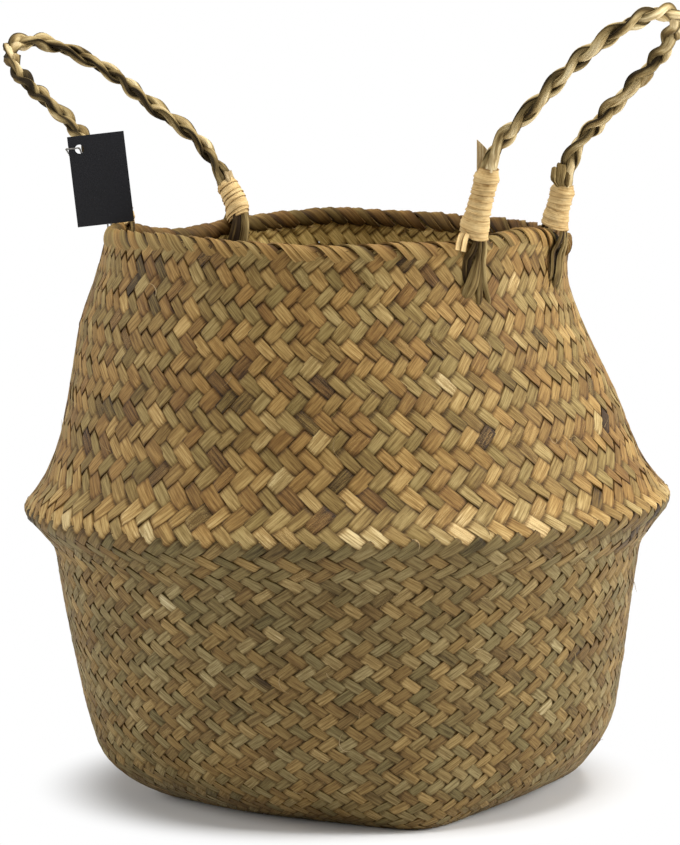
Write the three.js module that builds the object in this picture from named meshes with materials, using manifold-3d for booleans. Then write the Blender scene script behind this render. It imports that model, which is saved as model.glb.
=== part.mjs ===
// Seagrass belly basket with two plaited handles and a swing tag.
// Millimetres, +Z up, origin at the middle of the base, +X towards the right handle.
import * as THREE from 'three';
import { mergeVertices } from 'three/addons/utils/BufferGeometryUtils.js';
import Module from 'manifold-3d';

const wasm = await Module();
wasm.setup();

// Woven body
const wallThickness = 4;
const footRadius = 118;
const heelReach = 18.6;
const heelHeight = 29;
const bellyRadius = 170;
const bellyHeight = 154;
const creaseDepth = 15.8;
const creaseDrop = 23;
const lipDepth = 4;
const lipDrop = 8;
const shoulderSetback = 23.4;
const shoulderRise = 46.5;
const rimRadius = 123.4;
const rimHeight = 294;
const neckFlare = 2.6;
const neckDrop = 28;
const borderHeight = 10;
const borderSwell = 1.6;
const bodySegments = 48;
const outlineSteps = 4;
const borderSides = 10;

// How far each curve of the outline bows, as shares of its width and of its height
const heelBow = { out: 0.8, up: 0.2 };
const bowlBow = { out: 0.48, up: 0.4 };
const lipBow = { out: 1, up: 0.35 };
const shoulderBow = { out: 0.73, up: 0.37 };
const neckBow = { out: 0.8, up: 0.4 };

// The base is a square with round corners, which turns into a circle as the wall rises
const squareness = 9;
const squareCorner = 56;
const squareFade = 48;

// One corner of the base is worn rounder than the rest
const softCorner = 236;
const softCornerCut = 0.15;
const softCornerSpread = 26;
const softCornerFade = 30;

// The soft bowl leans a little off its base, the neck has settled to one side, the ridge is tilted
const leanBearing = 169.5;
const leanReach = 6;
const leanTop = 100;
const settleBearing = 39.5;
const swayReach = 9.2;
const swayDrop = 33;
const swaySpread = 49;
const ridgeTilt = 3.5;
const ridgeTiltSpread = 25;

// Handles: three plaited strands each
const strandRadius = 1.95;
const plaitHalfWidth = 4.2;
const plaitHalfThickness = 2.65;
const plaitPeriod = 57;
const plaitRunIn = 8;
const bundleSlack = 0.25;
const legHalfGap = 36;
const archRise = 50;
const strandSides = 6;
const stepsPerPeriod = 12;
const footCurveSteps = 6;
const footSegments = 20;
const rootRadiusInset = 2;

// Bindings: one strip of raffia wound round each leg
const stripHalfThickness = 0.8;
const stripHalfWidth = 1.65;
const windingPitch = 4;
const stepsPerTurn = 14;
const stripSides = 6;

// Roots: straps through slits in the wall
const rootWidth = 12;
const rootHalfThickness = 2.2;
const rootDrop = 32;
const rootArcSteps = 6;
const innerGap = 1;
const outerGap = 0.4;

// Cut tails above the bindings
const tailLength = 11;
const tailWidth = 7;
const tailThickness = 2.4;
const tailFootShare = 0.8;
const tailShoulderShare = 0.6;
const tailTipShare = 0.35;
const tailSlantShare = 0.85;

// Swing tag and its thread
const tagWidth = 30;
const tagHeight = 48;
const tagThickness = 0.6;
const tagHoleRadius = 2.4;
const tagHoleFromSide = 5.8;
const tagHoleFromTop = 7;
const tagHoleSegments = 16;
const tagRoll = 6.5;
const tagBearing = 39.5;
const tagAhead = 19.3;
const tagAside = 21.3;
const tagRise = 34.6;
const threadRadius = 0.5;
const threadSides = 6;
const threadSteps = 60;
const threadRunIn = 4;
const knotRadius = 1.5;
const knotDrop = 4;
const knotSegments = 10;
const knotRings = 8;

// Seats: what touches keeps this gap
const seatGap = 0.3;
const turnClearance = 0.35;

// Right handle
const rightBearing = 0;
const rightRootAngle = 16.2;
const rightLowLean = 17;
const rightHighLean = 48;
const rightBendStart = 35;
const rightBendEnd = 52;
const rightReach = 149;
const rightSpreadEnd = 60;
const rightFrontBinding = 35;
const rightBackBinding = 23;

// Left handle
const leftBearing = 178;
const leftRootAngle = 21.6;
const leftLowLean = 37;
const leftHighLean = 60;
const leftBendStart = 23;
const leftBendEnd = 60;
const leftReach = 146;
const leftSpreadEnd = 84;
const leftBinding = 20;

const handles = [
  {
    side: 'right',
    bearing: rightBearing,
    rootAngle: rightRootAngle,
    lowLean: rightLowLean,
    highLean: rightHighLean,
    bendStart: rightBendStart,
    bendEnd: rightBendEnd,
    reach: rightReach,
    spreadEnd: rightSpreadEnd,
    legs: [{ place: 'front', binding: rightFrontBinding }, { place: 'back', binding: rightBackBinding }],
  },
  {
    side: 'left',
    bearing: leftBearing,
    rootAngle: leftRootAngle,
    lowLean: leftLowLean,
    highLean: leftHighLean,
    bendStart: leftBendStart,
    bendEnd: leftBendEnd,
    reach: leftReach,
    spreadEnd: leftSpreadEnd,
    legs: [{ place: 'rear', binding: leftBinding }, { place: 'front', binding: leftBinding }],
  },
];

// Finishes
const finishes = {
  seagrass: { color: 0xa98c58, roughness: 0.78, metalness: 0 },
  border: { color: 0x8f7748, roughness: 0.8, metalness: 0 },
  plait: { color: 0x9f8853, roughness: 0.72, metalness: 0 },
  root: { color: 0x6f6038, roughness: 0.75, metalness: 0 },
  raffia: { color: 0xd6bb88, roughness: 0.7, metalness: 0 },
  card: { color: 0x17181c, roughness: 0.6, metalness: 0 },
  thread: { color: 0x8d8c88, roughness: 0.85, metalness: 0 },
};

const { degToRad, radToDeg, euclideanModulo, smoothstep, lerp } = THREE.MathUtils;
const basket = new THREE.Group();

// Solids
function signedVolume(geometry) {
  const place = geometry.attributes.position;
  const corner = [new THREE.Vector3(), new THREE.Vector3(), new THREE.Vector3()];
  let total = 0;
  for (let i = 0; i < geometry.index.count; i += 3) {
    corner.forEach((point, j) => point.fromBufferAttribute(place, geometry.index.getX(i + j)));
    total += corner[0].dot(corner[1].cross(corner[2])) / 6;
  }
  return total;
}

function closed(geometry) {
  geometry.deleteAttribute('normal');
  geometry.deleteAttribute('uv');
  const merged = mergeVertices(geometry, 1e-4);
  if (signedVolume(merged) < 0) {
    merged.setIndex(Array.from(merged.index.array).reverse());
  }
  return merged;
}

function toSolid(geometry) {
  const vertProperties = new Float32Array(geometry.attributes.position.array);
  const triVerts = new Uint32Array(geometry.index.array);
  return new wasm.Manifold(new wasm.Mesh({ numProp: 3, vertProperties, triVerts }));
}

function fromSolid(solid) {
  const mesh = solid.getMesh();
  const geometry = new THREE.BufferGeometry();
  geometry.setAttribute('position', new THREE.BufferAttribute(new Float32Array(mesh.vertProperties), 3));
  geometry.setIndex(new THREE.BufferAttribute(new Uint32Array(mesh.triVerts), 1));
  return geometry;
}

function addPart(name, geometry, finish, parent = basket) {
  geometry.computeVertexNormals();
  const mesh = new THREE.Mesh(geometry, new THREE.MeshStandardMaterial(finishes[finish]));
  mesh.name = name;
  parent.add(mesh);
  return mesh;
}

// A line moved sideways by a distance, to the left of its run
function offsetLine(points, distance) {
  return points.map((point, i) => {
    const before = points[Math.max(i - 1, 0)];
    const after = points[Math.min(i + 1, points.length - 1)];
    const run = after.clone().sub(before).normalize();
    return new THREE.Vector2(point.x - run.y * distance, point.y + run.x * distance);
  });
}

// Shape of the woven body
const creaseRadius = bellyRadius - creaseDepth;
const creaseHeight = bellyHeight - creaseDrop;
const lipRadius = bellyRadius - lipDepth;
const lipHeight = bellyHeight - lipDrop;
const heelRadius = footRadius + heelReach;
const shoulderRadius = bellyRadius - shoulderSetback;
const shoulderHeight = bellyHeight + shoulderRise;
const neckRadius = rimRadius + neckFlare;
const neckHeight = rimHeight - neckDrop;
const borderBottom = rimHeight - borderHeight;

// Carries a line on to a place with a curve that bows by its shares of the width and height
function bowTo(line, radius, height, bow) {
  const { x, y } = line.currentPoint;
  line.quadraticCurveTo(lerp(x, radius, bow.out), lerp(y, height, bow.up), radius, height);
}

function lowerOutline() {
  const line = new THREE.Path();
  line.moveTo(footRadius, 0);
  bowTo(line, heelRadius, heelHeight, heelBow);
  bowTo(line, creaseRadius, creaseHeight, bowlBow);
  line.lineTo(lipRadius, lipHeight);
  bowTo(line, bellyRadius, bellyHeight - seatGap / 2, lipBow);
  return line.getPoints(outlineSteps);
}

function upperOutline() {
  const line = new THREE.Path();
  line.moveTo(bellyRadius, bellyHeight + seatGap / 2);
  bowTo(line, shoulderRadius, shoulderHeight, shoulderBow);
  line.lineTo(neckRadius, neckHeight);
  bowTo(line, rimRadius, borderBottom - seatGap, neckBow);
  return line.getPoints(outlineSteps);
}

// Outer radius of the upper wall at a height
const upperLine = upperOutline();
function wallRadius(height) {
  const next = Math.max(1, upperLine.findIndex((point) => point.y >= height));
  const [low, high] = [upperLine[next - 1], upperLine[next]];
  return lerp(low.x, high.x, (height - low.y) / (high.y - low.y));
}

// Outline of the square base, 1 at its corners
function squareRadius(angle) {
  const turn = angle - degToRad(squareCorner - 45);
  const sum = Math.abs(Math.cos(turn)) ** squareness + Math.abs(Math.sin(turn)) ** squareness;
  return (2 / sum) ** (1 / squareness) / Math.SQRT2;
}

// What the soft corner leaves of that outline
function softRadius(angle) {
  const away = euclideanModulo(radToDeg(angle) - softCorner + 180, 360) - 180;
  return 1 - softCornerCut * Math.exp(-((away / softCornerSpread) ** 2));
}

function bearingVector(bearing) {
  return new THREE.Vector2(Math.cos(degToRad(bearing)), Math.sin(degToRad(bearing)));
}

// How far the middle of the wall lies off the middle of the base, at a height
const settleWay = bearingVector(settleBearing);
const leanWay = bearingVector(leanBearing);
function sway(height) {
  const fall = (height - (rimHeight - swayDrop)) / swaySpread;
  const back = -swayReach * Math.exp(-fall * fall);
  const lean = leanReach * Math.min(height / leanTop, 1);
  return leanWay.clone().multiplyScalar(lean).addScaledVector(settleWay, back);
}

// Where a point of the true round wall lies after the basket has settled
function settle(point) {
  const angle = Math.atan2(point.y, point.x);
  const square = lerp(1, squareRadius(angle), Math.max(0, 1 - point.z / squareFade) ** 2);
  const soft = lerp(1, softRadius(angle), Math.max(0, 1 - point.z / softCornerFade) ** 2);
  const along = settleWay.dot(point) / bellyRadius;
  const fromRidge = (point.z - bellyHeight) / ridgeTiltSpread;
  const side = sway(point.z);
  return point.set(
    point.x * square * soft + side.x,
    point.y * square * soft + side.y,
    point.z + ridgeTilt * along * Math.exp(-fromRidge * fromRidge),
  );
}

function settledLathe(profile) {
  const lathe = new THREE.LatheGeometry([...profile, profile[0]], bodySegments);
  lathe.rotateX(Math.PI / 2);
  const place = lathe.attributes.position;
  const point = new THREE.Vector3();
  for (let i = 0; i < place.count; i += 1) {
    settle(point.fromBufferAttribute(place, i));
    place.setXYZ(i, point.x, point.y, point.z);
  }
  return closed(lathe);
}

function shell(outer) {
  const inner = offsetLine(outer, wallThickness);
  return [...outer, ...inner.reverse()];
}

function makeBaseMat() {
  const outline = [];
  for (let i = 0; i < bodySegments; i += 1) {
    const angle = (i / bodySegments) * Math.PI * 2;
    const radius = footRadius * squareRadius(angle) * softRadius(angle) - seatGap;
    outline.push(new THREE.Vector2(radius * Math.cos(angle), radius * Math.sin(angle)));
  }
  const sheet = { depth: wallThickness, bevelEnabled: false };
  const mat = new THREE.ExtrudeGeometry(new THREE.Shape(outline), sheet);
  addPart('base_mat', closed(mat), 'seagrass');
}

function makeLowerWall() {
  const profile = shell(lowerOutline());
  const last = profile.length / 2;
  profile[last].y = profile[last - 1].y;
  profile.at(-1).x = footRadius;
  addPart('lower_wall', settledLathe(profile), 'seagrass');
}

function makeUpperWall(slits) {
  const profile = shell(upperLine);
  profile[profile.length - 1].set(bellyRadius - wallThickness * Math.SQRT2, profile[0].y);
  const wall = slits.reduce((solid, slit) => solid.subtract(slit), toSolid(settledLathe(profile)));
  addPart('upper_wall', fromSolid(wall), 'seagrass');
}

function makeRimBorder() {
  const half = wallThickness / 2 + borderSwell;
  const ring = new THREE.EllipseCurve(rimRadius - wallThickness / 2, rimHeight - borderHeight / 2, half,
    borderHeight / 2);
  addPart('rim_border', settledLathe(ring.getPoints(borderSides).slice(0, -1)), 'border');
}

// Handle roots
const rimSway = sway(rimHeight);
const rootRadius = rimRadius - rootRadiusInset;
const bundleRadius = strandRadius * 2 / Math.sqrt(3) + bundleSlack;
const bindingInside = bundleRadius + strandRadius + seatGap;
const bindingOutside = bindingInside + 2 * stripHalfThickness;
const hingeHeight = rimHeight + bindingOutside + turnClearance;
const rootHeight = rimHeight - rootDrop;

// A group on the rim circle, with x outwards, y along the rim and z up from the floor
function rimGroup(bearing) {
  const group = new THREE.Group();
  group.position.set(rimSway.x, rimSway.y, 0);
  group.rotation.z = degToRad(bearing);
  group.updateMatrixWorld(true);
  return group;
}

// How far the wall at a height lies outwards of the rim, seen from one bearing
function swayAlong(bearing, height) {
  return sway(height).sub(rimSway).dot(bearingVector(bearing));
}

function makeRoot(name, bearing) {
  const heights = [rimHeight, rimHeight - borderHeight / 2, borderBottom, neckHeight, rootHeight]
    .filter((height) => height >= rootHeight);
  const outside = heights.map((height) => {
    const surface = height < borderBottom ? wallRadius(height) : rimRadius + borderSwell;
    return new THREE.Vector2(surface + swayAlong(bearing, height) + outerGap + rootHalfThickness, height);
  });
  const inside = heights.map((height) => {
    const surface = (height < borderBottom ? wallRadius(height) : rimRadius - borderSwell) - wallThickness;
    return new THREE.Vector2(surface + swayAlong(bearing, height) - innerGap - rootHalfThickness, height);
  });
  const middle = (outside.at(-1).x + inside.at(-1).x) / 2;
  const bend = (outside.at(-1).x - inside.at(-1).x) / 2;
  const arc = new THREE.EllipseCurve(middle, rootHeight, bend, bend, 0, -Math.PI, true);
  const line = [...outside.slice(0, -1), ...arc.getPoints(rootArcSteps), ...inside.reverse().slice(1)];
  const edge = [...offsetLine(line, rootHalfThickness), ...offsetLine(line, -rootHalfThickness).reverse()];
  const strap = new THREE.ExtrudeGeometry(new THREE.Shape(edge), { depth: rootWidth, bevelEnabled: false });
  strap.translate(0, 0, -rootWidth / 2);
  strap.rotateX(Math.PI / 2);
  const group = rimGroup(bearing);
  basket.add(group);
  addPart(name, closed(strap), 'root', group);

  const slitHeight = bend + rootHalfThickness + 2 * innerGap;
  const slit = new THREE.BoxGeometry(4 * wallThickness, rootWidth + 2 * innerGap, slitHeight);
  slit.translate(middle, 0, rootHeight + innerGap - slitHeight / 2);
  slit.applyMatrix4(group.matrixWorld);
  return toSolid(closed(slit));
}

// Middle line of a handle: two legs and an arch, on a sheet that leans outwards and bends once
function handleLine(handle) {
  const rootHalf = rootRadius * Math.sin(degToRad(handle.rootAngle));
  const archStart = handle.reach - archRise;
  const stride = 1;
  const bent = (s) => smoothstep(s, handle.bendStart, handle.bendEnd);
  const lean = (s) => degToRad(lerp(handle.lowLean, handle.highLean, bent(s)));
  const sheet = [new THREE.Vector2(0, 0)];
  for (let s = 0; s < handle.reach; s += stride) {
    const angle = lean(s + stride / 2);
    const ahead = new THREE.Vector2(Math.sin(angle), Math.cos(angle));
    sheet.push(sheet.at(-1).clone().addScaledVector(ahead, stride));
  }
  const onSheet = (t, s) => {
    const low = Math.min(Math.max(Math.floor(s / stride), 0), sheet.length - 2);
    const point = sheet[low].clone().lerp(sheet[low + 1], s / stride - low);
    return new THREE.Vector3(point.x, t, point.y);
  };
  const half = (s, binding) => lerp(rootHalf, legHalfGap, smoothstep(s, binding, handle.spreadEnd));
  const points = [];
  const facing = [];
  const add = (t, s) => {
    points.push(onSheet(t, s));
    facing.push(new THREE.Vector3(Math.cos(lean(s)), 0, -Math.sin(lean(s))));
  };
  const step = 2 * stride;
  const foot = -bindingOutside;
  for (let s = foot; s < archStart; s += step) {
    add(-half(s, handle.legs[0].binding), s);
  }
  const archSteps = Math.ceil(Math.PI * legHalfGap / step);
  for (let i = 0; i <= archSteps; i += 1) {
    const turn = Math.PI * (i / archSteps);
    add(-legHalfGap * Math.cos(turn), archStart + archRise * Math.sin(turn));
  }
  for (let s = archStart - step; s > foot; s -= step) {
    add(half(s, handle.legs[1].binding), s);
  }
  add(half(foot, handle.legs[1].binding), foot);
  return { points, facing, rootHalf };
}

// The run along the middle line, with the sheet's normal at each place
function measuredLine({ points, facing }) {
  const run = [0];
  for (let i = 1; i < points.length; i += 1) {
    run.push(run[i - 1] + points[i].distanceTo(points[i - 1]));
  }
  const at = (distance) => {
    const next = Math.min(Math.max(1, run.findIndex((value) => value >= distance)), run.length - 1);
    const share = (distance - run[next - 1]) / (run[next] - run[next - 1]);
    const point = points[next - 1].clone().lerp(points[next], share);
    const out = facing[next - 1].clone().lerp(facing[next], share).normalize();
    const ahead = points[next].clone().sub(points[next - 1]).normalize();
    const across = out.clone().cross(ahead).normalize();
    return { point, out, across, ahead };
  };
  return { at, length: run.at(-1) };
}

class StrandCurve extends THREE.Curve {
  constructor(line, handle, index) {
    super();
    this.line = line;
    this.index = index;
    this.start = bindingOutside + handle.legs[0].binding;
    this.end = line.length - bindingOutside - handle.legs[1].binding;
    const plaited = this.end - this.start - 2 * plaitRunIn;
    this.crossings = Math.round(plaited / (plaitPeriod / 6));
  }

  getPoint(share, target = new THREE.Vector3()) {
    const distance = Math.min(Math.max(share, 0), 1) * this.line.length;
    const { point, out, across } = this.line.at(distance);
    const open = smoothstep(distance, this.start, this.start + plaitRunIn)
      * (1 - smoothstep(distance, this.end - plaitRunIn, this.end));
    const plaited = (distance - this.start - plaitRunIn) / (this.end - this.start - 2 * plaitRunIn);
    const crossed = this.crossings * Math.min(Math.max(plaited, 0), 1);
    const turn = Math.PI * (1 / 6 + crossed / 3 + this.index * 2 / 3);
    target.copy(point);
    target.addScaledVector(across, lerp(bundleRadius, plaitHalfWidth, open) * Math.sin(turn));
    return target.addScaledVector(out, lerp(bundleRadius, plaitHalfThickness, open) * Math.sin(2 * turn));
  }
}

// What is cut off a leg's end, so that the end is a ball about the hinge
function footCutter({ point, ahead }, towards) {
  const room = 2 * bindingOutside;
  const cup = new THREE.Path();
  cup.moveTo(0, -bindingOutside);
  cup.absarc(0, 0, bindingOutside, -Math.PI / 2, 0, false);
  cup.lineTo(room, 0);
  cup.lineTo(room, -room);
  cup.lineTo(0, -room);
  const lathe = new THREE.LatheGeometry(cup.getPoints(footCurveSteps), footSegments);
  lathe.applyQuaternion(new THREE.Quaternion().setFromUnitVectors(
    new THREE.Vector3(0, 1, 0), ahead.clone().multiplyScalar(towards)));
  lathe.translate(...point.clone().addScaledVector(ahead, towards * bindingOutside).toArray());
  return toSolid(closed(lathe));
}

function makeStrands(handle, line, group) {
  const section = new THREE.Shape(new THREE.EllipseCurve(0, 0, strandRadius, strandRadius)
    .getPoints(strandSides).slice(0, -1));
  const cutters = [footCutter(line.at(0), 1), footCutter(line.at(line.length), -1)];
  for (let index = 0; index < 3; index += 1) {
    const curve = new StrandCurve(line, handle, index);
    const steps = Math.round(line.length / plaitPeriod * stepsPerPeriod);
    const tube = new THREE.ExtrudeGeometry(section, { steps, extrudePath: curve, bevelEnabled: false });
    const strand = cutters.reduce((solid, cutter) => solid.subtract(cutter), toSolid(closed(tube)));
    addPart(`handle_${handle.side}_strand_${index + 1}`, fromSolid(strand), 'plait', group);
  }
}

// A strip wound round a leg, from the hinge up, with both ends running straight on
function makeBinding(name, leg, binding, group) {
  const radius = bindingInside + stripHalfThickness;
  const turns = (binding - 2 * stripHalfWidth) / windingPitch;
  const steps = Math.round(turns * stepsPerTurn);
  const places = [];
  for (let i = 0; i <= steps; i += 1) {
    const angle = (i / stepsPerTurn) * Math.PI * 2;
    const outward = new THREE.Vector3(Math.cos(angle), Math.sin(angle), 0);
    const height = stripHalfWidth + windingPitch * (i / stepsPerTurn);
    places.push({ centre: outward.clone().multiplyScalar(radius).setZ(height), outward });
  }
  const straightOn = (end, inner) => ({
    centre: end.centre.clone().add(end.centre.clone().sub(inner.centre).setLength(2 * stripHalfWidth)),
    outward: end.outward,
  });
  places.unshift(straightOn(places[0], places[1]));
  places.push(straightOn(places.at(-1), places.at(-2)));

  const rings = places.map(({ centre, outward }) => {
    const ring = [];
    for (let j = 0; j < stripSides; j += 1) {
      const turn = (j / stripSides) * Math.PI * 2;
      const point = centre.clone().addScaledVector(outward, stripHalfThickness * Math.cos(turn));
      point.z += stripHalfWidth * Math.sin(turn);
      ring.push(point);
    }
    return ring;
  });
  const geometry = new THREE.BufferGeometry().setFromPoints(rings.flat());
  const faces = [];
  for (let i = 0; i + 1 < rings.length; i += 1) {
    for (let j = 0; j < stripSides; j += 1) {
      const [a, b] = [i * stripSides + j, i * stripSides + (j + 1) % stripSides];
      faces.push(a, a + stripSides, b, b, a + stripSides, b + stripSides);
    }
  }
  const last = (rings.length - 1) * stripSides;
  for (let j = 1; j + 1 < stripSides; j += 1) {
    faces.push(0, j, j + 1, last, last + j + 1, last + j);
  }
  geometry.setIndex(faces);
  const basis = new THREE.Matrix4().makeBasis(leg.across, leg.out, leg.ahead);
  geometry.applyMatrix4(basis.setPosition(leg.point));
  addPart(name, closed(geometry), 'raffia', group);
  return leastGap(rings);
}

// Least distance between places of a winding that lie over half a turn apart
function leastGap(rings) {
  let least = Infinity;
  rings.forEach((ring, i) => {
    for (let k = i + stepsPerTurn / 2; k < rings.length; k += 1) {
      ring.forEach((point) => rings[k].forEach((other) => {
        least = Math.min(least, point.distanceTo(other));
      }));
    }
  });
  return least;
}

// The cut end of a strand, on the mouth side of the plait above its binding
function makeTail(name, leg, binding, group) {
  const outline = new THREE.Shape();
  const half = tailWidth / 2;
  outline.moveTo(-half * tailFootShare, 0);
  outline.lineTo(half * tailFootShare, 0);
  outline.lineTo(half, tailLength * tailShoulderShare);
  outline.lineTo(tailWidth * tailTipShare, tailLength);
  outline.lineTo(-half, tailLength * tailSlantShare);
  const tail = new THREE.ExtrudeGeometry(outline, { depth: tailThickness, bevelEnabled: false });
  const behind = -(plaitHalfThickness + strandRadius + seatGap + tailThickness);
  tail.translate(0, binding + seatGap, behind);
  tail.applyMatrix4(new THREE.Matrix4().makeBasis(leg.across, leg.ahead, leg.out).setPosition(leg.point));
  addPart(name, closed(tail), 'plait', group);
}

function makeHandle(handle) {
  const group = rimGroup(handle.bearing);
  group.position.z = hingeHeight;
  const rootOut = rootRadius * Math.cos(degToRad(handle.rootAngle));
  const shape = handleLine(handle);
  shape.points.forEach((point) => { point.x += rootOut; });
  const line = measuredLine(shape);
  makeStrands(handle, line, group);
  handle.legs.forEach(({ place, binding }, i) => {
    const foot = line.at(i === 0 ? bindingOutside : line.length - bindingOutside);
    const leg = { ...foot, ahead: foot.ahead.clone().multiplyScalar(i === 0 ? 1 : -1) };
    leg.across = leg.out.clone().cross(leg.ahead).normalize();
    const gap = makeBinding(`binding_${handle.side}_${place}`, leg, binding, group);
    console.log(`binding_${handle.side}_${place}: least gap between turns ${gap.toFixed(2)} mm`);
    makeTail(`tail_${handle.side}_${place}`, leg, binding, group);
  });
  basket.add(group);
  const hinge = group.localToWorld(new THREE.Vector3(rootOut, 0, 0));
  console.log(`handle_${handle.side}: hinge at ${written(hinge)}`);
}

function written(point) {
  return point.toArray().map((value) => value.toFixed(2)).join(', ');
}

// A group at the tag's hole, beside one root, with x along the card, y behind it and z up
function tagGroup(rootBearing) {
  const root = rimGroup(rootBearing).localToWorld(new THREE.Vector3(rootRadius, 0, hingeHeight));
  const group = new THREE.Group();
  group.rotation.z = degToRad(tagBearing);
  group.position.set(-tagAside, -tagAhead, tagRise).applyEuler(group.rotation).add(root);
  group.updateMatrixWorld(true);
  basket.add(group);
  return group;
}

function makeTag(group) {
  const [left, top] = [-tagHoleFromSide, tagHoleFromTop];
  const outline = new THREE.Shape();
  outline.moveTo(left, top);
  outline.lineTo(left, top - tagHeight);
  outline.lineTo(left + tagWidth, top - tagHeight);
  outline.lineTo(left + tagWidth, top);
  outline.holes.push(new THREE.Path().absarc(0, 0, tagHoleRadius, 0, Math.PI * 2, true));
  const sheet = { depth: tagThickness, bevelEnabled: false, curveSegments: tagHoleSegments };
  const card = new THREE.ExtrudeGeometry(outline, sheet);
  card.translate(0, 0, -tagThickness / 2);
  card.rotateZ(degToRad(tagRoll));
  card.rotateX(Math.PI / 2);
  addPart('swing_tag', closed(card), 'card', group);
}

// The thread runs up from its knot, through the hole, round the side of the card and back
function makeThread(group, rootBearing) {
  const knotSpot = new THREE.Vector3(rimRadius + borderSwell + outerGap + rootHalfThickness,
    rootWidth / 2 + seatGap + knotRadius, rimHeight - knotDrop);
  const knot = group.worldToLocal(rimGroup(rootBearing).localToWorld(knotSpot));
  const ball = new THREE.SphereGeometry(knotRadius, knotSegments, knotRings);
  ball.translate(...knot.toArray());
  addPart('tag_knot', closed(ball), 'thread', group);

  const tied = (x, y, above) => knot.clone().add(new THREE.Vector3(x, y, knotRadius + above));
  const between = (share, x, y) => knot.clone().multiplyScalar(share).add(new THREE.Vector3(x, y, 0));
  const near = (x, y, z) => new THREE.Vector3(x, y, z);
  const front = -(tagThickness / 2 + 2 * seatGap + threadRadius);
  const side = -(tagHoleFromSide + threadRadius);
  const route = [
    tied(0.7, -0.4, seatGap), tied(0.4, -0.8, threadRunIn),
    between(0.75, 0.8, 1), between(0.55, 0.5, 1.6), between(0.31, 0.2, 2.6), between(0.11, 0, 3.2),
    near(0.2, 2.6, 0.1), near(0, 0.9, 0.7), near(0, -0.5, 0.8),
    near(-0.8, front, 0.9), near(side / 2, front, 0.7), near(side, front / 2, 0.4),
    near(side - 1, 0.2, 0.1), near(side - 0.7, 1.7, -0.9),
    between(0.11, -6, 3), between(0.31, -5, 3.4), between(0.55, -3.7, 2.8), between(0.75, -2.5, 2.2),
    tied(-1.6, 0.1, threadRunIn), tied(-1.1, 0.2, seatGap),
  ];
  const curve = new THREE.CatmullRomCurve3(route);
  const section = new THREE.Shape(new THREE.EllipseCurve(0, 0, threadRadius, threadRadius)
    .getPoints(threadSides).slice(0, -1));
  const run = { steps: threadSteps, extrudePath: curve, bevelEnabled: false };
  addPart('tag_string', closed(new THREE.ExtrudeGeometry(section, run)), 'thread', group);
  console.log(`tag: hole at ${written(group.position)}, thread ${curve.getLength().toFixed(1)} mm`);
}

makeBaseMat();
makeLowerWall();
const slits = [];
for (const handle of handles) {
  handle.legs.forEach(({ place }, i) => {
    const bearing = handle.bearing + handle.rootAngle * (i === 0 ? -1 : 1);
    slits.push(makeRoot(`root_${handle.side}_${place}`, bearing));
  });
}
makeUpperWall(slits);
makeRimBorder();
handles.forEach(makeHandle);
const tagRoot = leftBearing + leftRootAngle;
const tagPlace = tagGroup(tagRoot);
makeTag(tagPlace);
makeThread(tagPlace, tagRoot);

export default basket;
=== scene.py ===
# %% [markdown]
# A soft seagrass basket with a belly fold, two plaited handles and a plain swing tag.
# The solids of the basket come first, as a fixed frame in metres with +Z up. Every piece made
# below is measured from that frame and rides on one of its bodies.

# %% Load the frame
import math

import bmesh
import bpy
import numpy as np
from mathutils import Matrix, Vector


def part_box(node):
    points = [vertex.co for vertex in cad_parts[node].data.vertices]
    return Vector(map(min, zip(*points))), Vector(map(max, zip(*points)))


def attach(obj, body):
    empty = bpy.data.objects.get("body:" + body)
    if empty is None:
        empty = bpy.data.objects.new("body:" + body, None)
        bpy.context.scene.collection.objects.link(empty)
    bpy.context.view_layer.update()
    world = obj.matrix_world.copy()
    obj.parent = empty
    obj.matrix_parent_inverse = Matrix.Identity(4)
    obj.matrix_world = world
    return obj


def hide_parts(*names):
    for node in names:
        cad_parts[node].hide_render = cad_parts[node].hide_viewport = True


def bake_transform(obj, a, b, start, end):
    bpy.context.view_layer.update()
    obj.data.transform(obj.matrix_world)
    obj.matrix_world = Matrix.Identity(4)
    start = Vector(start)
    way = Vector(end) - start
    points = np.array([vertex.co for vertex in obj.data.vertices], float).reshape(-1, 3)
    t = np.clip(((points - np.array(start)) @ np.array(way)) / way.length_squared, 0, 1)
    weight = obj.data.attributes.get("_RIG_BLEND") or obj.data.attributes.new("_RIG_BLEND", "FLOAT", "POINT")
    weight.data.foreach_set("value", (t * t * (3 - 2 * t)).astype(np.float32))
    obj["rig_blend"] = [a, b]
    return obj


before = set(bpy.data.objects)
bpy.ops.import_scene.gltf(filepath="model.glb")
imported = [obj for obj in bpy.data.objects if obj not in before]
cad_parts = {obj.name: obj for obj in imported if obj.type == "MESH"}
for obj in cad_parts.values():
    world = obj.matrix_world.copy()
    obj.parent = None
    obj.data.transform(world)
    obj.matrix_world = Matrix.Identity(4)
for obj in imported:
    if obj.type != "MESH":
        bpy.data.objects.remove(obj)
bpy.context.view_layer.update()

# %% [markdown]
# The camera stands well back and a little above the rim, so the basket shows almost no perspective.
# It could be aimed with a Track To constraint. A direction turned into a rotation is simpler, and
# it stays readable: stand here, look along this line. The lens is known in pixels of the picture,
# and the sensor's size turns that into millimetres.

# %% Camera
VIEW_BEARING, VIEW_PITCH = math.radians(39.5), 0.1276
VIEW_ASIDE, VIEW_BACK, VIEW_HEIGHT = -0.00777, 2.3954, 0.5007
SENSOR_MM, PICTURE_PIXELS, LENS_PIXELS = 36, 845, 4595.2
UPWARDS = Vector((0, 0, 1))
TO_THE_RIGHT = Vector((math.cos(VIEW_BEARING), math.sin(VIEW_BEARING), 0))
AWAY = Vector((-math.sin(VIEW_BEARING), math.cos(VIEW_BEARING), 0))


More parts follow.
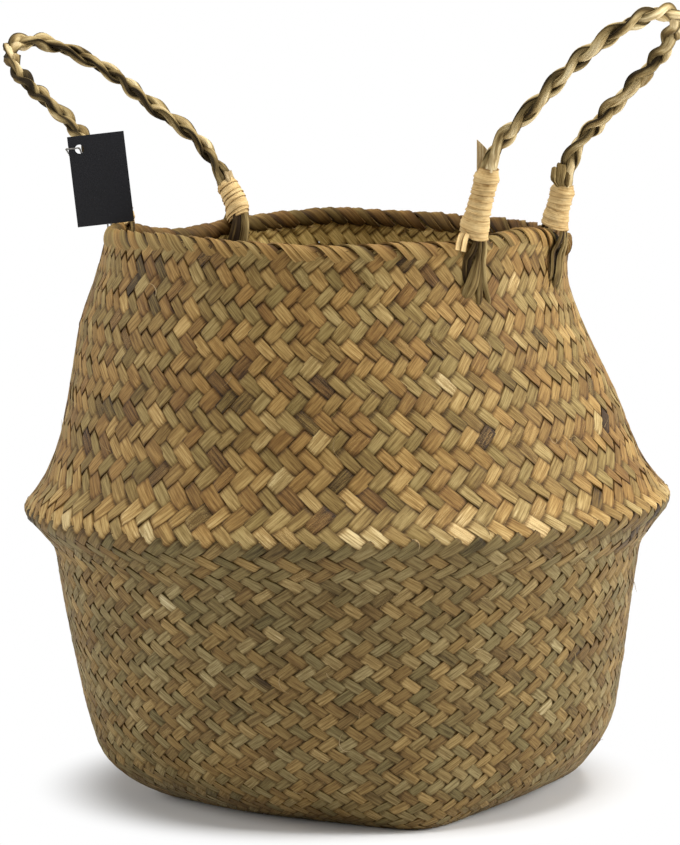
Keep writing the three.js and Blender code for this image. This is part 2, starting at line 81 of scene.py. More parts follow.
def set_up(name, data, place, looking):
    holder = bpy.data.objects.new(name, data)
    holder.location = place
    holder.rotation_mode = "QUATERNION"
    holder.rotation_quaternion = looking.to_track_quat("-Z", "Y")
    bpy.context.scene.collection.objects.link(holder)
    return holder


lens = bpy.data.cameras.new("camera")
lens.sensor_width = SENSOR_MM
lens.lens = LENS_PIXELS / PICTURE_PIXELS * SENSOR_MM
lens.clip_end = 50
stand = TO_THE_RIGHT * VIEW_ASIDE - AWAY * VIEW_BACK + UPWARDS * VIEW_HEIGHT
looking = AWAY * math.cos(VIEW_PITCH) - UPWARDS * math.sin(VIEW_PITCH)
bpy.context.scene.camera = set_up("camera", lens, stand, looking)
print("camera at", [round(v, 3) for v in stand], "lens", round(lens.lens, 1), "mm")

# %% [markdown]
# Finishes are built from nodes. Writing each Math node by hand hides the idea, so one small class
# stands for a value inside a material: adding or multiplying such values adds the nodes, and a
# plain number may stand on either side.


# %% Values
class Val:
    def __init__(self, nodes, socket):
        self.nodes = nodes
        self.socket = socket

    def math(self, operation, *others):
        terms = dict(enumerate((self, *others)))
        return self.nodes.node("ShaderNodeMath", {"operation": operation}, terms)

    def flipped(self, operation, other):
        return self.nodes.node("ShaderNodeMath", {"operation": operation}, {0: other, 1: self})

    def __add__(self, other):
        return self.math("ADD", other)

    def __sub__(self, other):
        return self.math("SUBTRACT", other)

    def __mul__(self, other):
        return self.math("MULTIPLY", other)

    def __rsub__(self, other):
        return self.flipped("SUBTRACT", other)

    __radd__ = __add__
    __rmul__ = __mul__

    def floor(self):
        return self.math("FLOOR")

    def fract(self):
        return self.math("FRACT")

    def abs(self):
        return self.math("ABSOLUTE")

    def rise(self, low, high):
        ends = {"Value": self, "From Min": low, "From Max": high}
        return self.nodes.node("ShaderNodeMapRange", {"interpolation_type": "SMOOTHSTEP"}, ends)


print("a value also knows", [word for word in vars(Val) if not word.startswith("_")])

# %% [markdown]
# A tree of nodes belongs to a material or to the world. One method makes every kind of node: it
# sets the node's own settings first, then fills or links its sockets. A finish is such a tree with
# its shader, and its other methods are short names for nodes that come again and again. A shaded
# colour is multiplied by a shadow that takes more from blue than from red, as in real grass.


# %% Finishes
class Nodes:
    def __init__(self, tree):
        self.tree = tree

    def node(self, kind, settings, inputs, out=0):
        made = self.tree.nodes.new(kind)
        for key, value in settings.items():
            if key == "stops":
                self.set_stops(made.color_ramp, value)
            else:
                setattr(made, key, value)
        for key, value in inputs.items():
            self.feed(made.inputs[key], value)
        return Val(self, made.outputs[out])

    def feed(self, socket, value):
        if isinstance(value, Val):
            self.tree.links.new(value.socket, socket)
        else:
            socket.default_value = value

    def set_stops(self, ramp, stops):
        while len(ramp.elements) < len(stops):
            ramp.elements.new(1)
        for element, (place, colour) in zip(ramp.elements, stops):
            element.position = place
            element.color = colour


class Finish(Nodes):
    def __init__(self, name):
        self.material = bpy.data.materials.new(name)
        self.material.use_nodes = True
        super().__init__(self.material.node_tree)
        self.shader = self.tree.nodes["Principled BSDF"]

    def attributes(self, *names):
        return (self.node("ShaderNodeAttribute", {"attribute_name": name}, {}, "Fac") for name in names)

    def place(self, x, y, z):
        return self.node("ShaderNodeCombineXYZ", {}, {0: x, 1: y, 2: z})

    def noise(self, place, detail, scale=1.0):
        inputs = {"Vector": place, "Scale": scale, "Detail": detail}
        return self.node("ShaderNodeTexNoise", {}, inputs, "Fac")

    def chance(self, place, out="Value"):
        return self.node("ShaderNodeTexWhiteNoise", {"noise_dimensions": "3D"}, {"Vector": place}, out)

    def ramp(self, value, stops):
        return self.node("ShaderNodeValToRGB", {"stops": stops}, {0: value})

    def mix(self, share, first, second, blend="MIX"):
        settings = {"data_type": "RGBA", "blend_type": blend}
        return self.node("ShaderNodeMix", settings, {0: share, 6: first, 7: second}, 2)

    def shaded(self, colour, shade, gain=1.0):
        green = shade * (shade * 0.25 + 0.75)
        blue = shade * (shade * 0.6 + 0.4)
        channels = {0: shade * gain, 1: green * gain, 2: blue * gain}
        return self.mix(1.0, colour, self.node("ShaderNodeCombineColor", {}, channels), "MULTIPLY")

    def bump(self, height, strength, distance):
        settings = {"Height": height, "Strength": strength, "Distance": distance}
        self.feed(self.shader.inputs["Normal"], self.node("ShaderNodeBump", {}, settings))

    def set(self, **values):
        for key, value in values.items():
            self.feed(self.shader.inputs[key.replace("_", " ")], value)


print("a finish can", [word for word in vars(Finish) if not word.startswith("_")])

# %% [markdown]
# Colours are written as they look on a screen, from 0 to 255, and turned into the light that
# Blender reckons with. A row of tones is a few such colours, each with its place from dark to
# pale, and a Color Ramp reads it.


# %% Colours
def srgb(red, green, blue):
    parts = [value / 255 for value in (red, green, blue)]
    return (*[p / 12.92 if p <= 0.04045 else ((p + 0.055) / 1.055) ** 2.4 for p in parts], 1)


def tones(*marks):
    return [(place, srgb(*colour)) for place, *colour in marks]


print("grey 128 on a screen is", round(srgb(128, 128, 128)[0], 3), "of white light")

# %% [markdown]
# Dry seagrass is sold in blades of many tones: straw, golden tan, olive and brown. The shoulder of
# the basket is the warmer part, and the bowl is duller and greener. Each has two rows of tones, one
# tan and one olive, and every float mixes them in its own share.

# %% Tones of the seagrass
SHOULDER_TONES = (
    tones((0.00, 50, 33, 14), (0.07, 90, 63, 30), (0.26, 121, 89, 45), (0.50, 143, 110, 59),
          (0.74, 162, 130, 75), (0.92, 182, 152, 96), (1.00, 200, 173, 121)),
    tones((0.00, 64, 49, 22), (0.14, 104, 85, 44), (0.45, 130, 110, 63), (0.74, 149, 128, 79),
          (0.92, 172, 149, 99), (1.00, 198, 177, 128)),
)
BOWL_TONES = (
    tones((0.00, 57, 41, 18), (0.10, 95, 73, 38), (0.35, 116, 91, 50), (0.62, 133, 108, 62),
          (0.90, 156, 130, 81), (1.00, 190, 166, 119)),
    tones((0.00, 60, 50, 26), (0.12, 97, 85, 50), (0.40, 115, 101, 63), (0.66, 129, 114, 75),
          (0.90, 152, 136, 94), (1.00, 191, 175, 135)),
)
print("tones:", [len(row) for row in SHOULDER_TONES + BOWL_TONES], "stops")

# %% [markdown]
# Every float gets painted shade: darkest where it dives under its neighbour, a little where it comes
# up again, in the notches beside that end, and along its sides. Ambient occlusion finds such places
# only when rendering, so the finish works them out from where a point lies on its float. The wraps
# of the rim have no notches: each gets painted shade along the side that lies under its neighbour,
# where it is tucked in, and on its half that faces into the basket.

# %% Shade of the weave
DIVE_SHADE, COME_UP_SHADE, NOTCH_SHADE, WRAP_INSIDE_SHADE = 0.58, 0.34, 0.62, 0.42


def weave_shade(along, across, edge_shade, lapped, gap_shade):
    # Every term here is painted shade.
    after = along.fract() - 0.5
    before = after * -1
    ends = after.rise(0.3, 0.47) * (DIVE_SHADE * gap_shade) + before.rise(0.38, 0.49) * (COME_UP_SHADE * gap_shade)
    notch = across.abs().rise(0.26, 0.48) * before.rise(0.06, 0.4) * (NOTCH_SHADE * gap_shade * (1 - lapped))
    sides = across.abs().rise(0.4, 0.5) * (1 - lapped) + across.rise(0.05, 0.4) * lapped
    wrap_inside_shade = along.rise(0.45, 0.7) * (WRAP_INSIDE_SHADE * lapped)
    return (1 - ends) * (1 - notch) * (1 - sides * edge_shade) * (1 - wrap_inside_shade)


print("the deepest notch keeps", round(1 - NOTCH_SHADE, 2), "of the light")

# %% [markdown]
# Each short float of a strip has its own tone, so the colour is drawn from White Noise on the
# strip's number and the float's number, both stored on the mesh. Now and then a float is much
# darker or paler than the rest. Along the belly ridge the shoulder gets painted light and the bowl
# painted shade, and the faces that look inwards get painted light and lean to the olive tones. Fine
# lines run along a blade, so the grain is noise squeezed across it and stretched along it. An image
# could show all this, but nodes stay sharp at any size.

# %% Seagrass finish
INSIDE_PAINTED_LIGHT, GRASS_GRAIN_DEPTH = 1.4, 0.0008


def seagrass(name, tone_rows, variety, edge_shade, ridge=0.0, painted_ridge_lighting=0.0, rare=0.0, lapped=0.0, gap_shade=1.0):
    finish = Finish(name)
    along, across, strip, deep = finish.attributes("along", "across", "strip", "deep")
    own_float = finish.place(along.floor(), strip, 0.5)
    chance = finish.chance(own_float)
    hue = finish.node("ShaderNodeSeparateColor", {}, {0: finish.chance(own_float, "Color")}, 1)
    drift = finish.noise(finish.place(along * 0.13, strip * 3.7, 1.5), 1.0)
    grain = finish.noise(finish.place(along * 0.8, across * 6.0 + strip * 7.7, strip * 5.3), 3.0)
    fibre = finish.noise(finish.place(along * 1.7, across * 17.0 + strip * 3.1, strip * 9.1), 2.0)

    tone = (chance - 0.5) * variety + (drift - 0.5) * 0.55 + (grain - 0.5) * 0.55 + 0.5
    # Painted light along the belly ridge where the amount is above zero, painted shade where it is below.
    tone = tone + (1 - (along - ridge).abs().rise(0.2, 2.2)) * painted_ridge_lighting
    tone = tone + chance.rise(0.972, 0.978) * (rare * 0.5) - (1 - chance.rise(0.032, 0.038)) * rare
    # Faces that look inwards lean to the olive tones and get painted light through the gain below.
    inner = (deep * -1).rise(0.7, 1.0) * (1 - lapped)
    olive = (hue + (strip * 0.5).fract() * 0.5 + inner).rise(0.32, 1.02)
    colour = finish.mix(olive, *(finish.ramp(tone, row) for row in tone_rows))

    streak = grain.rise(0.34, 0.6) * 0.28 + fibre.rise(0.3, 0.62) * 0.32 + 0.53
    shade = streak * weave_shade(along, across, edge_shade, lapped, gap_shade)
    finish.set(Base_Color=finish.shaded(colour, shade, inner * INSIDE_PAINTED_LIGHT + 1),
               Roughness=0.8 - fibre * 0.3, Specular_IOR_Level=0.2)
    finish.bump(grain * 0.5 + fibre * 0.5, 0.5, GRASS_GRAIN_DEPTH)
    print("finish", name, len(finish.tree.nodes), "nodes")
    return finish.material


# %% [markdown]
# The wall is a line turned round the axis, from just under the base, out over the belly and up to
# the rim. The same sizes as the solid's are used here, in millimetres. Each stretch between two
# corners is a bow, drawn as a curve would be, from two ends and a point that pulls it outwards.

# %% Outline of the wall
BELLY_RADIUS, BELLY_HEIGHT, RIM_RADIUS, RIM_HEIGHT = 170.0, 154.0, 123.4, 294.0
FOOT_RADIUS, UNDER_TURN = 118.0, 17.0
CORNERS = {
    "foot": (FOOT_RADIUS, 0.0), "heel": (136.6, 29.0), "crease": (154.2, 131.0), "lip": (166.0, 146.0),
    "belly": (BELLY_RADIUS, BELLY_HEIGHT), "shoulder": (146.6, 200.5), "neck": (126.0, 266.0),
    "collar": (RIM_RADIUS, 284.0), "top": (RIM_RADIUS, 291.0),
}


def bow(first, last, out, up, steps=40):
    (r0, z0), (r2, z2) = CORNERS[first], CORNERS[last]
    r1, z1 = r0 + (r2 - r0) * out, z0 + (z2 - z0) * up
    t = np.linspace(0, 1, steps, endpoint=False)
    return np.stack([(1 - t) ** 2 * a + 2 * t * (1 - t) * b + t * t * c
                     for a, b, c in ((r0, r1, r2), (z0, z1, z2))], axis=1)


outline = np.concatenate([
    np.linspace((FOOT_RADIUS - UNDER_TURN, 0), CORNERS["foot"], 20, endpoint=False),
    bow("foot", "heel", 0.8, 0.2), bow("heel", "crease", 0.48, 0.4), bow("crease", "lip", 0.5, 0.5),
    bow("lip", "belly", 1.0, 0.35), bow("belly", "shoulder", 0.73, 0.37), bow("shoulder", "neck", 0.5, 0.5),
    bow("neck", "collar", 0.8, 0.4), bow("collar", "top", 0.5, 0.5), [CORNERS["top"]],
])
print("outline of", len(outline), "points")

# %% [markdown]
# The line is then cut into many short even steps, and its corners are eased a little. Everything
# else looks its radius, height and outward direction up by the distance along it.

# %% Even steps along the wall
LINE_STEP, CORNER_REACH = 0.5, 3.0


def run_along(points):
    return np.concatenate([[0], np.cumsum(np.linalg.norm(np.diff(points, axis=0), axis=1))])


def ease(value, low, high):
    share = np.clip((value - low) / (high - low), 0, 1)
    return share * share * (3 - 2 * share)


def smoothed(values, reach):
    window = np.hanning(int(2 * reach / LINE_STEP) + 1)
    padded = np.pad(values, len(window) // 2, mode="reflect", reflect_type="odd")
    return np.convolve(padded, window / window.sum(), mode="valid")


run = run_along(outline)
run_even = np.arange(0, run[-1], LINE_STEP)
line_r, line_z = (smoothed(np.interp(run_even, run, column), CORNER_REACH) for column in outline.T)
rise_r, rise_z = np.gradient(line_r), np.gradient(line_z)
rise = np.hypot(rise_r, rise_z)
out_r, out_z = smoothed(rise_z / rise, CORNER_REACH), smoothed(-rise_r / rise, CORNER_REACH)
belly_run = run_even[np.argmax(line_r)]
print("wall line", round(run[-1], 1), "mm long, belly after", round(belly_run, 1), "mm")

# %% [markdown]
# A soft basket never stays true. Its base is a rounded square that turns into a circle as the wall
# rises, and one corner of it is softer than the others. A superellipse gives such a square, and its
# power says how sharp the corners are.

# %% Square base
SQUARENESS, SQUARE_CORNER, SQUARE_FADE = 9, math.radians(56), 48.0
SOFT_CORNER, SOFT_CUT, SOFT_SPREAD, SOFT_FADE = 236.0, 0.15, 26.0, 30.0


def square_radius(angle):
    turn = angle - (SQUARE_CORNER - math.pi / 4)
    total = np.abs(np.cos(turn)) ** SQUARENESS + np.abs(np.sin(turn)) ** SQUARENESS
    return (2 / total) ** (1 / SQUARENESS) / math.sqrt(2)


def degrees_from(angle, bearing):
    return (np.degrees(angle) - bearing + 180) % 360 - 180


def soft_radius(angle):
    return 1 - SOFT_CUT * np.exp(-(degrees_from(angle, SOFT_CORNER) / SOFT_SPREAD) ** 2)


side_share = float(square_radius(SQUARE_CORNER + math.pi / 4))
print("middle of a side lies at", round(side_share, 3), "of the corner")

# %% [markdown]
# The rim waves. Its lift in millimetres is listed by bearing round the mouth, and a smooth table
# with one entry for each degree gives every place between. The lift fades out down the neck.

# %% Waving rim
HUMP_FOOT, HUMP_RUN, HUMP_REACH = 215, 70, 3.5
RIM_LIFTS = {
    0: 9.0, 9: 7.4, 16: 3.4, 24: -0.8, 45: -2.0, 66: -0.8, 79: 0.2, 105: 0.8, 131: 3.0, 150: -0.4,
    158: -1.8, 168: -5.6, 177: -6.2, 188: -2.6, 200: 1.6, 219: 2.6, 245: 5.2, 266: 6.6, 290: 4.6,
    309: 3.4, 328: 4.8, 338: 4.2, 344: 4.2, 351: 7.4,
}
lift_table = np.interp(np.arange(360), list(RIM_LIFTS), list(RIM_LIFTS.values()), period=360)
lift_table = smoothed(np.tile(lift_table, 3), HUMP_REACH)[360:720]


def hump(angle, height):
    lift = np.interp(np.degrees(angle) % 360, np.arange(360), lift_table, period=360)
    return lift * np.clip((height - HUMP_FOOT) / HUMP_RUN, 0, 1) ** 2


print("rim waves from", round(lift_table.min(), 1), "to", round(lift_table.max(), 1), "mm")

# %% [markdown]
# The bowl leans off its base, the neck has settled to one side and is squeezed a little behind the
# tag, and the ridge is tilted. A lattice could push the mesh about like that. A function that moves
# points is exact, and apart from the rim's wave and the squeeze it is the one that shaped the solids.

# %% Settling
SETTLE_BACK, SETTLE_BELOW_RIM, SETTLE_SPREAD = -9.2, 33, 49
LEAN, LEAN_HEIGHT = 6.0, 100
TILT, TILT_SPREAD = 3.5, 25
SQUEEZE, SQUEEZE_BEARING, SQUEEZE_SPREAD = 0.03, 219.5, 24
SQUEEZE_FOOT, SQUEEZE_RISE, SQUEEZE_TOP, SQUEEZE_FALL = 245, 40, 306, 12


def heading(bearing):
    turn = math.radians(bearing)
    return np.array([math.cos(turn), math.sin(turn)])


SETTLE_WAY, LEAN_WAY = heading(39.5), heading(169.5)


def sway(height):
    height = np.minimum(height, RIM_HEIGHT)
    back = SETTLE_BACK * np.exp(-((height - (RIM_HEIGHT - SETTLE_BELOW_RIM)) / SETTLE_SPREAD) ** 2)
    lean = LEAN * np.clip(height / LEAN_HEIGHT, None, 1)
    return back[..., None] * SETTLE_WAY + lean[..., None] * LEAN_WAY


def squeeze(angle, height):
    near_rim = np.clip((height - SQUEEZE_FOOT) / SQUEEZE_RISE, 0, 1)
    near_rim = near_rim * np.clip((SQUEEZE_TOP - height) / SQUEEZE_FALL, 0, 1)
    return 1 - SQUEEZE * np.exp(-(degrees_from(angle, SQUEEZE_BEARING) / SQUEEZE_SPREAD) ** 2) * near_rim


def settle(points):
    x, y, z = points.T
    angle = np.arctan2(y, x)
    squared = 1 - np.clip(1 - z / SQUARE_FADE, 0, 1) ** 2 * (1 - square_radius(angle))
    squared = squared * (1 - np.clip(1 - z / SOFT_FADE, 0, 1) ** 2 * (1 - soft_radius(angle)))
    squared = squared * squeeze(angle, z)
    along = (points[:, :2] @ SETTLE_WAY) / BELLY_RADIUS
    tilt = TILT * along * np.exp(-((z - BELLY_HEIGHT) / TILT_SPREAD) ** 2)
    side = sway(z)
    return np.stack([x * squared + side[:, 0], y * squared + side[:, 1], z + tilt + hump(angle, z)], axis=1)


print("rim lies", [round(float(v), 1) for v in sway(np.array(RIM_HEIGHT))], "mm off the base")

# %% [markdown]
# Every flat strip of grass starts the same way: as a grid laid on the table, given thickness, and
# copied side by side. Its x is the run along the strip, its y is the strip's number plus the place
# across it, and its z is 0 on top and -1 underneath. Spin makes the copies: with no turn and one
# step sideways it lays them in a row.

# %% Mats of strips
LANE = 0.9


def side_by_side(shape, count):
    if count > 1:
        everything = shape.verts[:] + shape.edges[:] + shape.faces[:]
        bmesh.ops.spin(shape, geom=everything, cent=(0, 0, 0), axis=(0, 0, 1), dvec=(0, 1, 0), angle=0,
                       steps=count - 1, use_duplicate=True)
    return shape


def lay_strips(stations, count, cells_across=3):
    mat = bmesh.new()
    bmesh.ops.create_grid(mat, x_segments=len(stations) - 1, y_segments=cells_across, size=0.5)
    for vert in mat.verts:
        vert.co.x = stations[round((vert.co.x + 0.5) * (len(stations) - 1))]
        vert.co.y *= LANE
    bmesh.ops.solidify(mat, geom=mat.faces[:], thickness=1.0)
    lowest = min(vert.co.z for vert in mat.verts)
    for vert in mat.verts:
        vert.co.z = -1.0 if vert.co.z < lowest + 0.5 else 0.0
    bmesh.ops.recalc_face_normals(mat, faces=mat.faces[:])
    return side_by_side(mat, count)


print("a flat strip fills", LANE, "of its lane")

# %% [markdown]
# Only then is the whole mat bent into place, by one function that knows where each strip goes. The
# flat numbers stay on the mesh as attributes, because the finish needs them. Modifiers could bend a
# mat as well, but not every strip along its own path.


# %% From a flat mat to a piece
def store(mesh, key, values):
    attribute = mesh.attributes.get(key) or mesh.attributes.new(key, "FLOAT", "POINT")
    attribute.data.foreach_set("value", np.asarray(values, np.float32))


def to_mesh(name, shape, bend):
    mesh = bpy.data.meshes.new(name)
    shape.to_mesh(mesh)
    shape.free()
    flat = np.empty(len(mesh.vertices) * 3)
    mesh.vertices.foreach_get("co", flat)
    run_on, lane, deep = flat.reshape(-1, 3).T
    strip = np.round(lane)
    across = (lane - strip) / LANE
    bent, along = bend(run_on, across, strip.astype(int), deep)
    for key, values in (("along", along), ("across", across), ("strip", strip), ("deep", deep)):
        store(mesh, key, values)
    mesh.vertices.foreach_set("co", (bent * 0.001).astype(np.float32).ravel())
    mesh.update()
    return mesh


def face_outward(mesh):
    turned = bmesh.new()
    turned.from_mesh(mesh)
    bmesh.ops.recalc_face_normals(turned, faces=turned.faces[:])
    turned.to_mesh(mesh)
    turned.free()


def add_piece(mesh, material):
    face_outward(mesh)
    mesh.polygons.foreach_set("use_smooth", np.ones(len(mesh.polygons), bool))
    mesh.set_sharp_from_angle(angle=math.radians(50))
    mesh.materials.append(material)
    piece = bpy.data.objects.new(mesh.name, mesh)
    bpy.context.scene.collection.objects.link(piece)
    triangles = sum(len(face.vertices) - 2 for face in mesh.polygons)
    print(piece.name, len(mesh.vertices), "points,", triangles, "triangles")
    return piece


# %% [markdown]
# The wall is a twill. Strips climb to the right and to the left, and each goes over two and under
# two. On a bias weave all the crossings at one height do the same, so the floats lie in level rows,
# leaning right in one row and left in the next. A strip's place round the wall follows from its
# climb, and the crossings come at even steps of that turn. Counting those steps gives the wave that
# lifts a strip over and drops it under. The strips of the bowl climb less steeply.

# %% Counting the crossings
STRIPS = 96
BOWL_SLANT, SHOULDER_SLANT = 1.5, 1.0
SLANT_FROM, SLANT_TO = BELLY_HEIGHT - 26, BELLY_HEIGHT + 14
TURN_OVER, PILLOW = 0.2, 0.25
slant = BOWL_SLANT - (BOWL_SLANT - SHOULDER_SLANT) * ease(line_z, SLANT_FROM, SLANT_TO)
turn_line = np.concatenate([[0], np.cumsum((slant / line_r)[:-1] * LINE_STEP)])
count_line = turn_line * STRIPS / math.pi
count_line += 4 - (np.interp(belly_run, run_even, count_line) - 1.5) % 4
belly_count = np.interp(belly_run, run_even, count_line)


def wave(count):
    from_change = 1 - np.abs((count - 0.5 + 2) % 4 - 2)
    return np.clip(from_change / TURN_OVER, -1, 1) + PILLOW * from_change


print("crossings from base to rim:", round(count_line[-1] - count_line[0]))

# %% [markdown]
# No two floats are alike: each is a little wider, higher, further aside or more tilted than the
# next. A table of random numbers with a row for each strip says so, and it is read smoothly along
# the strip. The wall itself is a little wavy, and it never dips under the floor.

# %% Uneven floats
WAVINESS, FLOATS_LISTED = 0.28, 64
rng = np.random.default_rng(11)


def by_float(strip, section, spread):
    table = rng.normal(0, spread, (STRIPS, FLOATS_LISTED))
    low = np.clip(np.floor(section - 0.5).astype(int), 0, FLOATS_LISTED - 2)
    share = np.clip(section - 0.5 - low, 0, 1)
    return table[strip, low] * (1 - share) + table[strip, low + 1] * share


def wall_points(distance, angle, depth):
    r, z, nr, nz = (np.interp(distance, run_even, values) for values in (line_r, line_z, out_r, out_z))
    waves = np.sin(3 * angle + z / 31) + np.sin(5 * angle - z / 23 + 2) + np.sin(2 * angle + z / 47 + 4)
    r, z = r + nr * (depth + WAVINESS * waves), z + nz * depth
    points = settle(np.stack([r * np.cos(angle), r * np.sin(angle), z], axis=1))
    points[:, 2] = np.maximum(points[:, 2], 0)
    return points


print("the wall waves by up to", 3 * WAVINESS, "mm")

# %% [markdown]
# Broad and slim blades alternate a little, more on the shoulder than on the bowl. A float lies flat
# along its middle and turns down close to its ends, so each one has four stations of points: two
# where it is flat and two where it starts to dive. The belly ridge is where the bowl's strips and
# the shoulder's meet, and they carry on from one into the other.

# %% Woven wall
STRIP_THICKNESS, WEAVE_LIFT, CROWN, SKIN_DEPTH = 1.1, 0.62, 0.14, 1.1
FLOAT_STATIONS = (-0.3, -0.1, 1.1, 1.3)
FULLNESS, BOWL_CONTRAST, SHOULDER_CONTRAST = 1.03, 0.06, 0.13
WIDTH_SPREAD, PLACE_SPREAD, LIFT_SPREAD, ROLL_SPREAD = 0.06, 0.34, 0.06, 0.08
ridge_float = (belly_count + 0.5) / 2
# The shoulder gets painted light along the belly ridge and the bowl painted shade.
shoulder_grass = seagrass("seagrass_shoulder", SHOULDER_TONES, 0.52, 0.32, ridge_float, 0.25, rare=0.17)
bowl_grass = seagrass("seagrass_bowl", BOWL_TONES, 0.56, 0.3, ridge_float, -0.18, rare=0.06, gap_shade=0.65)


def wall_strips(name, way, low, high, material):
    marks = np.concatenate([np.arange(math.floor(low / 2) * 2 - 2, high + 2, 2) + part
                            for part in FLOAT_STATIONS])
    inner_marks = np.sort(marks[(marks > low + 0.05) & (marks < high - 0.05)])
    stations = np.concatenate([[low], inner_marks, [high]])

    def bend(count, across, strip, depth):
        section = (count + 0.5) / 2
        distance = np.interp(count, count_line, run_even)
        r, lean = (np.interp(distance, run_even, values) for values in (line_r, slant))
        slope = np.sqrt(1 + lean * lean)
        pitch = 2 * math.pi * r / STRIPS / slope
        contrast = np.interp(distance, [belly_run - 30, belly_run + 20], [BOWL_CONTRAST, SHOULDER_CONTRAST])
        broad = np.where(strip % 2 == 0, contrast, -contrast)
        width = pitch * (FULLNESS + broad + by_float(strip, section, WIDTH_SPREAD))
        offset = across * width + by_float(strip, section, PLACE_SPREAD)
        angle = way * np.interp(count, count_line, turn_line) + strip * 2 * math.pi / STRIPS
        angle += offset / slope / r
        distance = distance - way * offset * lean / slope
        lift = way * WEAVE_LIFT * wave(count) * (1 + by_float(strip, section, LIFT_SPREAD))
        roll = by_float(strip, section, ROLL_SPREAD) * across * width
        height = lift + roll - CROWN * (2 * across) ** 2 + (depth + 0.5) * STRIP_THICKNESS
        return wall_points(distance, angle, height - SKIN_DEPTH), section

    return add_piece(to_mesh(name, lay_strips(stations, STRIPS), bend), material)


top_count = np.interp(run_even[-1], run_even, count_line)
for way, side in ((1, "right"), (-1, "left")):
    lower = wall_strips(f"lower_wall_{side}_strips", way, count_line[0], belly_count, bowl_grass)
    upper = wall_strips(f"upper_wall_{side}_strips", way, belly_count, top_count, shoulder_grass)
    for piece, node in ((lower, "lower_wall"), (upper, "upper_wall")):
        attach(piece, "basket")
        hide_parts(node)

# %% [markdown]
# At the rim the strips are folded over and tucked back into the wall. What shows is a row of broad
# slanted wraps round the edge, each with one side lying on its neighbour. A curve with a bevel
# would give a smooth pipe. Wraps laid as a mat and rolled round an oval keep every edge.

# %% Rim border
WRAPS, WRAP_WIDTH, WRAP_SHIFT, WRAP_LENGTH = 84, 5.9, 31.0, 23.0
WRAP_THICKNESS, WRAP_CROWN, WRAP_LAP = 0.8, 0.15, 1.2
RIM_LINE_RADIUS, OVAL_RADIUS, OVAL_HEIGHT = 121.4, 121.6, 288.7
OVAL_HALF_WIDTH, OVAL_HALF_HEIGHT = 2.4, 4.9
ROLL_START, ROLL_SWEEP = -84, 330
wrap_way = np.array([-WRAP_SHIFT, WRAP_LENGTH]) / math.hypot(WRAP_SHIFT, WRAP_LENGTH)
wrap_noise = rng.normal(0, 1, (4, WRAPS))


def round_the_rim(share, across, strip, depth):
    wider, further, higher, turned = wrap_noise[:, strip]
    aside = across * WRAP_WIDTH * (np.where(strip % 2 == 0, 1.16, 0.86) + 0.1 * wider)
    along_rim = strip * 2 * math.pi * RIM_LINE_RADIUS / WRAPS - share * WRAP_SHIFT + aside * wrap_way[1]
    along_rim += 0.6 * further
    along_wrap = share * WRAP_LENGTH - aside * wrap_way[0]
    roll = np.radians(ROLL_START + 9 * turned + ROLL_SWEEP * along_wrap / WRAP_LENGTH)
    lift = 0.1 - across * WRAP_LAP + 0.2 * higher - WRAP_CROWN * (2 * across) ** 2 + depth * WRAP_THICKNESS
    r = OVAL_RADIUS + (OVAL_HALF_WIDTH + lift) * np.cos(roll)
    z = OVAL_HEIGHT + (OVAL_HALF_HEIGHT + lift) * np.sin(roll)
    angle = along_rim / RIM_LINE_RADIUS
    return settle(np.stack([r * np.cos(angle), r * np.sin(angle), z], axis=1)), 0.05 + 0.9 * share


border_grass = seagrass("seagrass_border", SHOULDER_TONES, 0.36, 0.72, lapped=1.0)
wraps = to_mesh("rim_wraps", lay_strips(np.linspace(0, 1, 19), WRAPS), round_the_rim)
border = add_piece(wraps, border_grass)
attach(border, "basket")
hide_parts("rim_border")

# %% [markdown]
# The basket stands on a flat woven square, whose strips run from corner to corner and turn up into
# the wall. It is the same twill on straight lines: two mats of strips, each cut to the outline of
# the base and waved the opposite way.

# %% Base mat
BASE_PITCH, BASE_STRIPS, BASE_LEVEL, BASE_CROWN, BASE_FULLNESS = 6.0, 34, 1.8, 0.1, 0.97
BASE_SPAN, BASE_TRIES, BASE_OVERLAP = 130, 1041, 4
base_reach = FOOT_RADIUS - UNDER_TURN + BASE_OVERLAP
base_places = (np.arange(BASE_STRIPS) - (BASE_STRIPS - 1) / 2) * BASE_PITCH


def cut_to_base(ahead, aside):
    runs = np.linspace(-BASE_SPAN, BASE_SPAN, BASE_TRIES)
    ends = []
    for place in base_places:
        spots = runs[:, None] * ahead + place * aside
        turn = np.arctan2(spots[:, 1], spots[:, 0])
        inside = np.hypot(*spots.T) < base_reach * square_radius(turn) * soft_radius(turn)
        ends.append((runs[inside].min(), runs[inside].max()) if inside.any() else (-1, 1))
    return np.array(ends).T


def base_strips(name, bearing, way):
    ahead = np.array([math.cos(bearing), math.sin(bearing)])
    aside = np.array([-ahead[1], ahead[0]])
    starts, stops = cut_to_base(ahead, aside)

    def bend(share, across, strip, depth):
        run_on = starts[strip] + share * (stops[strip] - starts[strip])
        count = run_on / BASE_PITCH + 0.5 + way * strip
        offset = base_places[strip] + across * BASE_PITCH * BASE_FULLNESS
        lift = way * WEAVE_LIFT * wave(count) + (depth + 0.5) * STRIP_THICKNESS
        lift = lift - BASE_CROWN * (2 * across) ** 2
        flat = run_on[:, None] * ahead + offset[:, None] * aside
        return np.column_stack([flat, BASE_LEVEL + lift]), count / 2

    mat = lay_strips(np.linspace(0, 1, 97), BASE_STRIPS)
    return add_piece(to_mesh(name, mat, bend), bowl_grass)


for name, quarter, way in (("base_long_strips", 0, 1), ("base_cross_strips", 1, -1)):
    piece = base_strips(name, SQUARE_CORNER + quarter * math.pi / 2, way)
    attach(piece, "basket")
    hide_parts("base_mat")

# %% [markdown]
# Each handle follows one line: up one leg, round the arch and down the other leg, on a sheet that
# leans out from the rim and bends once. Its points come from the same sizes as the solid's. At any
# distance along it, the line gives a point, the way out of the sheet and the way across the plait.

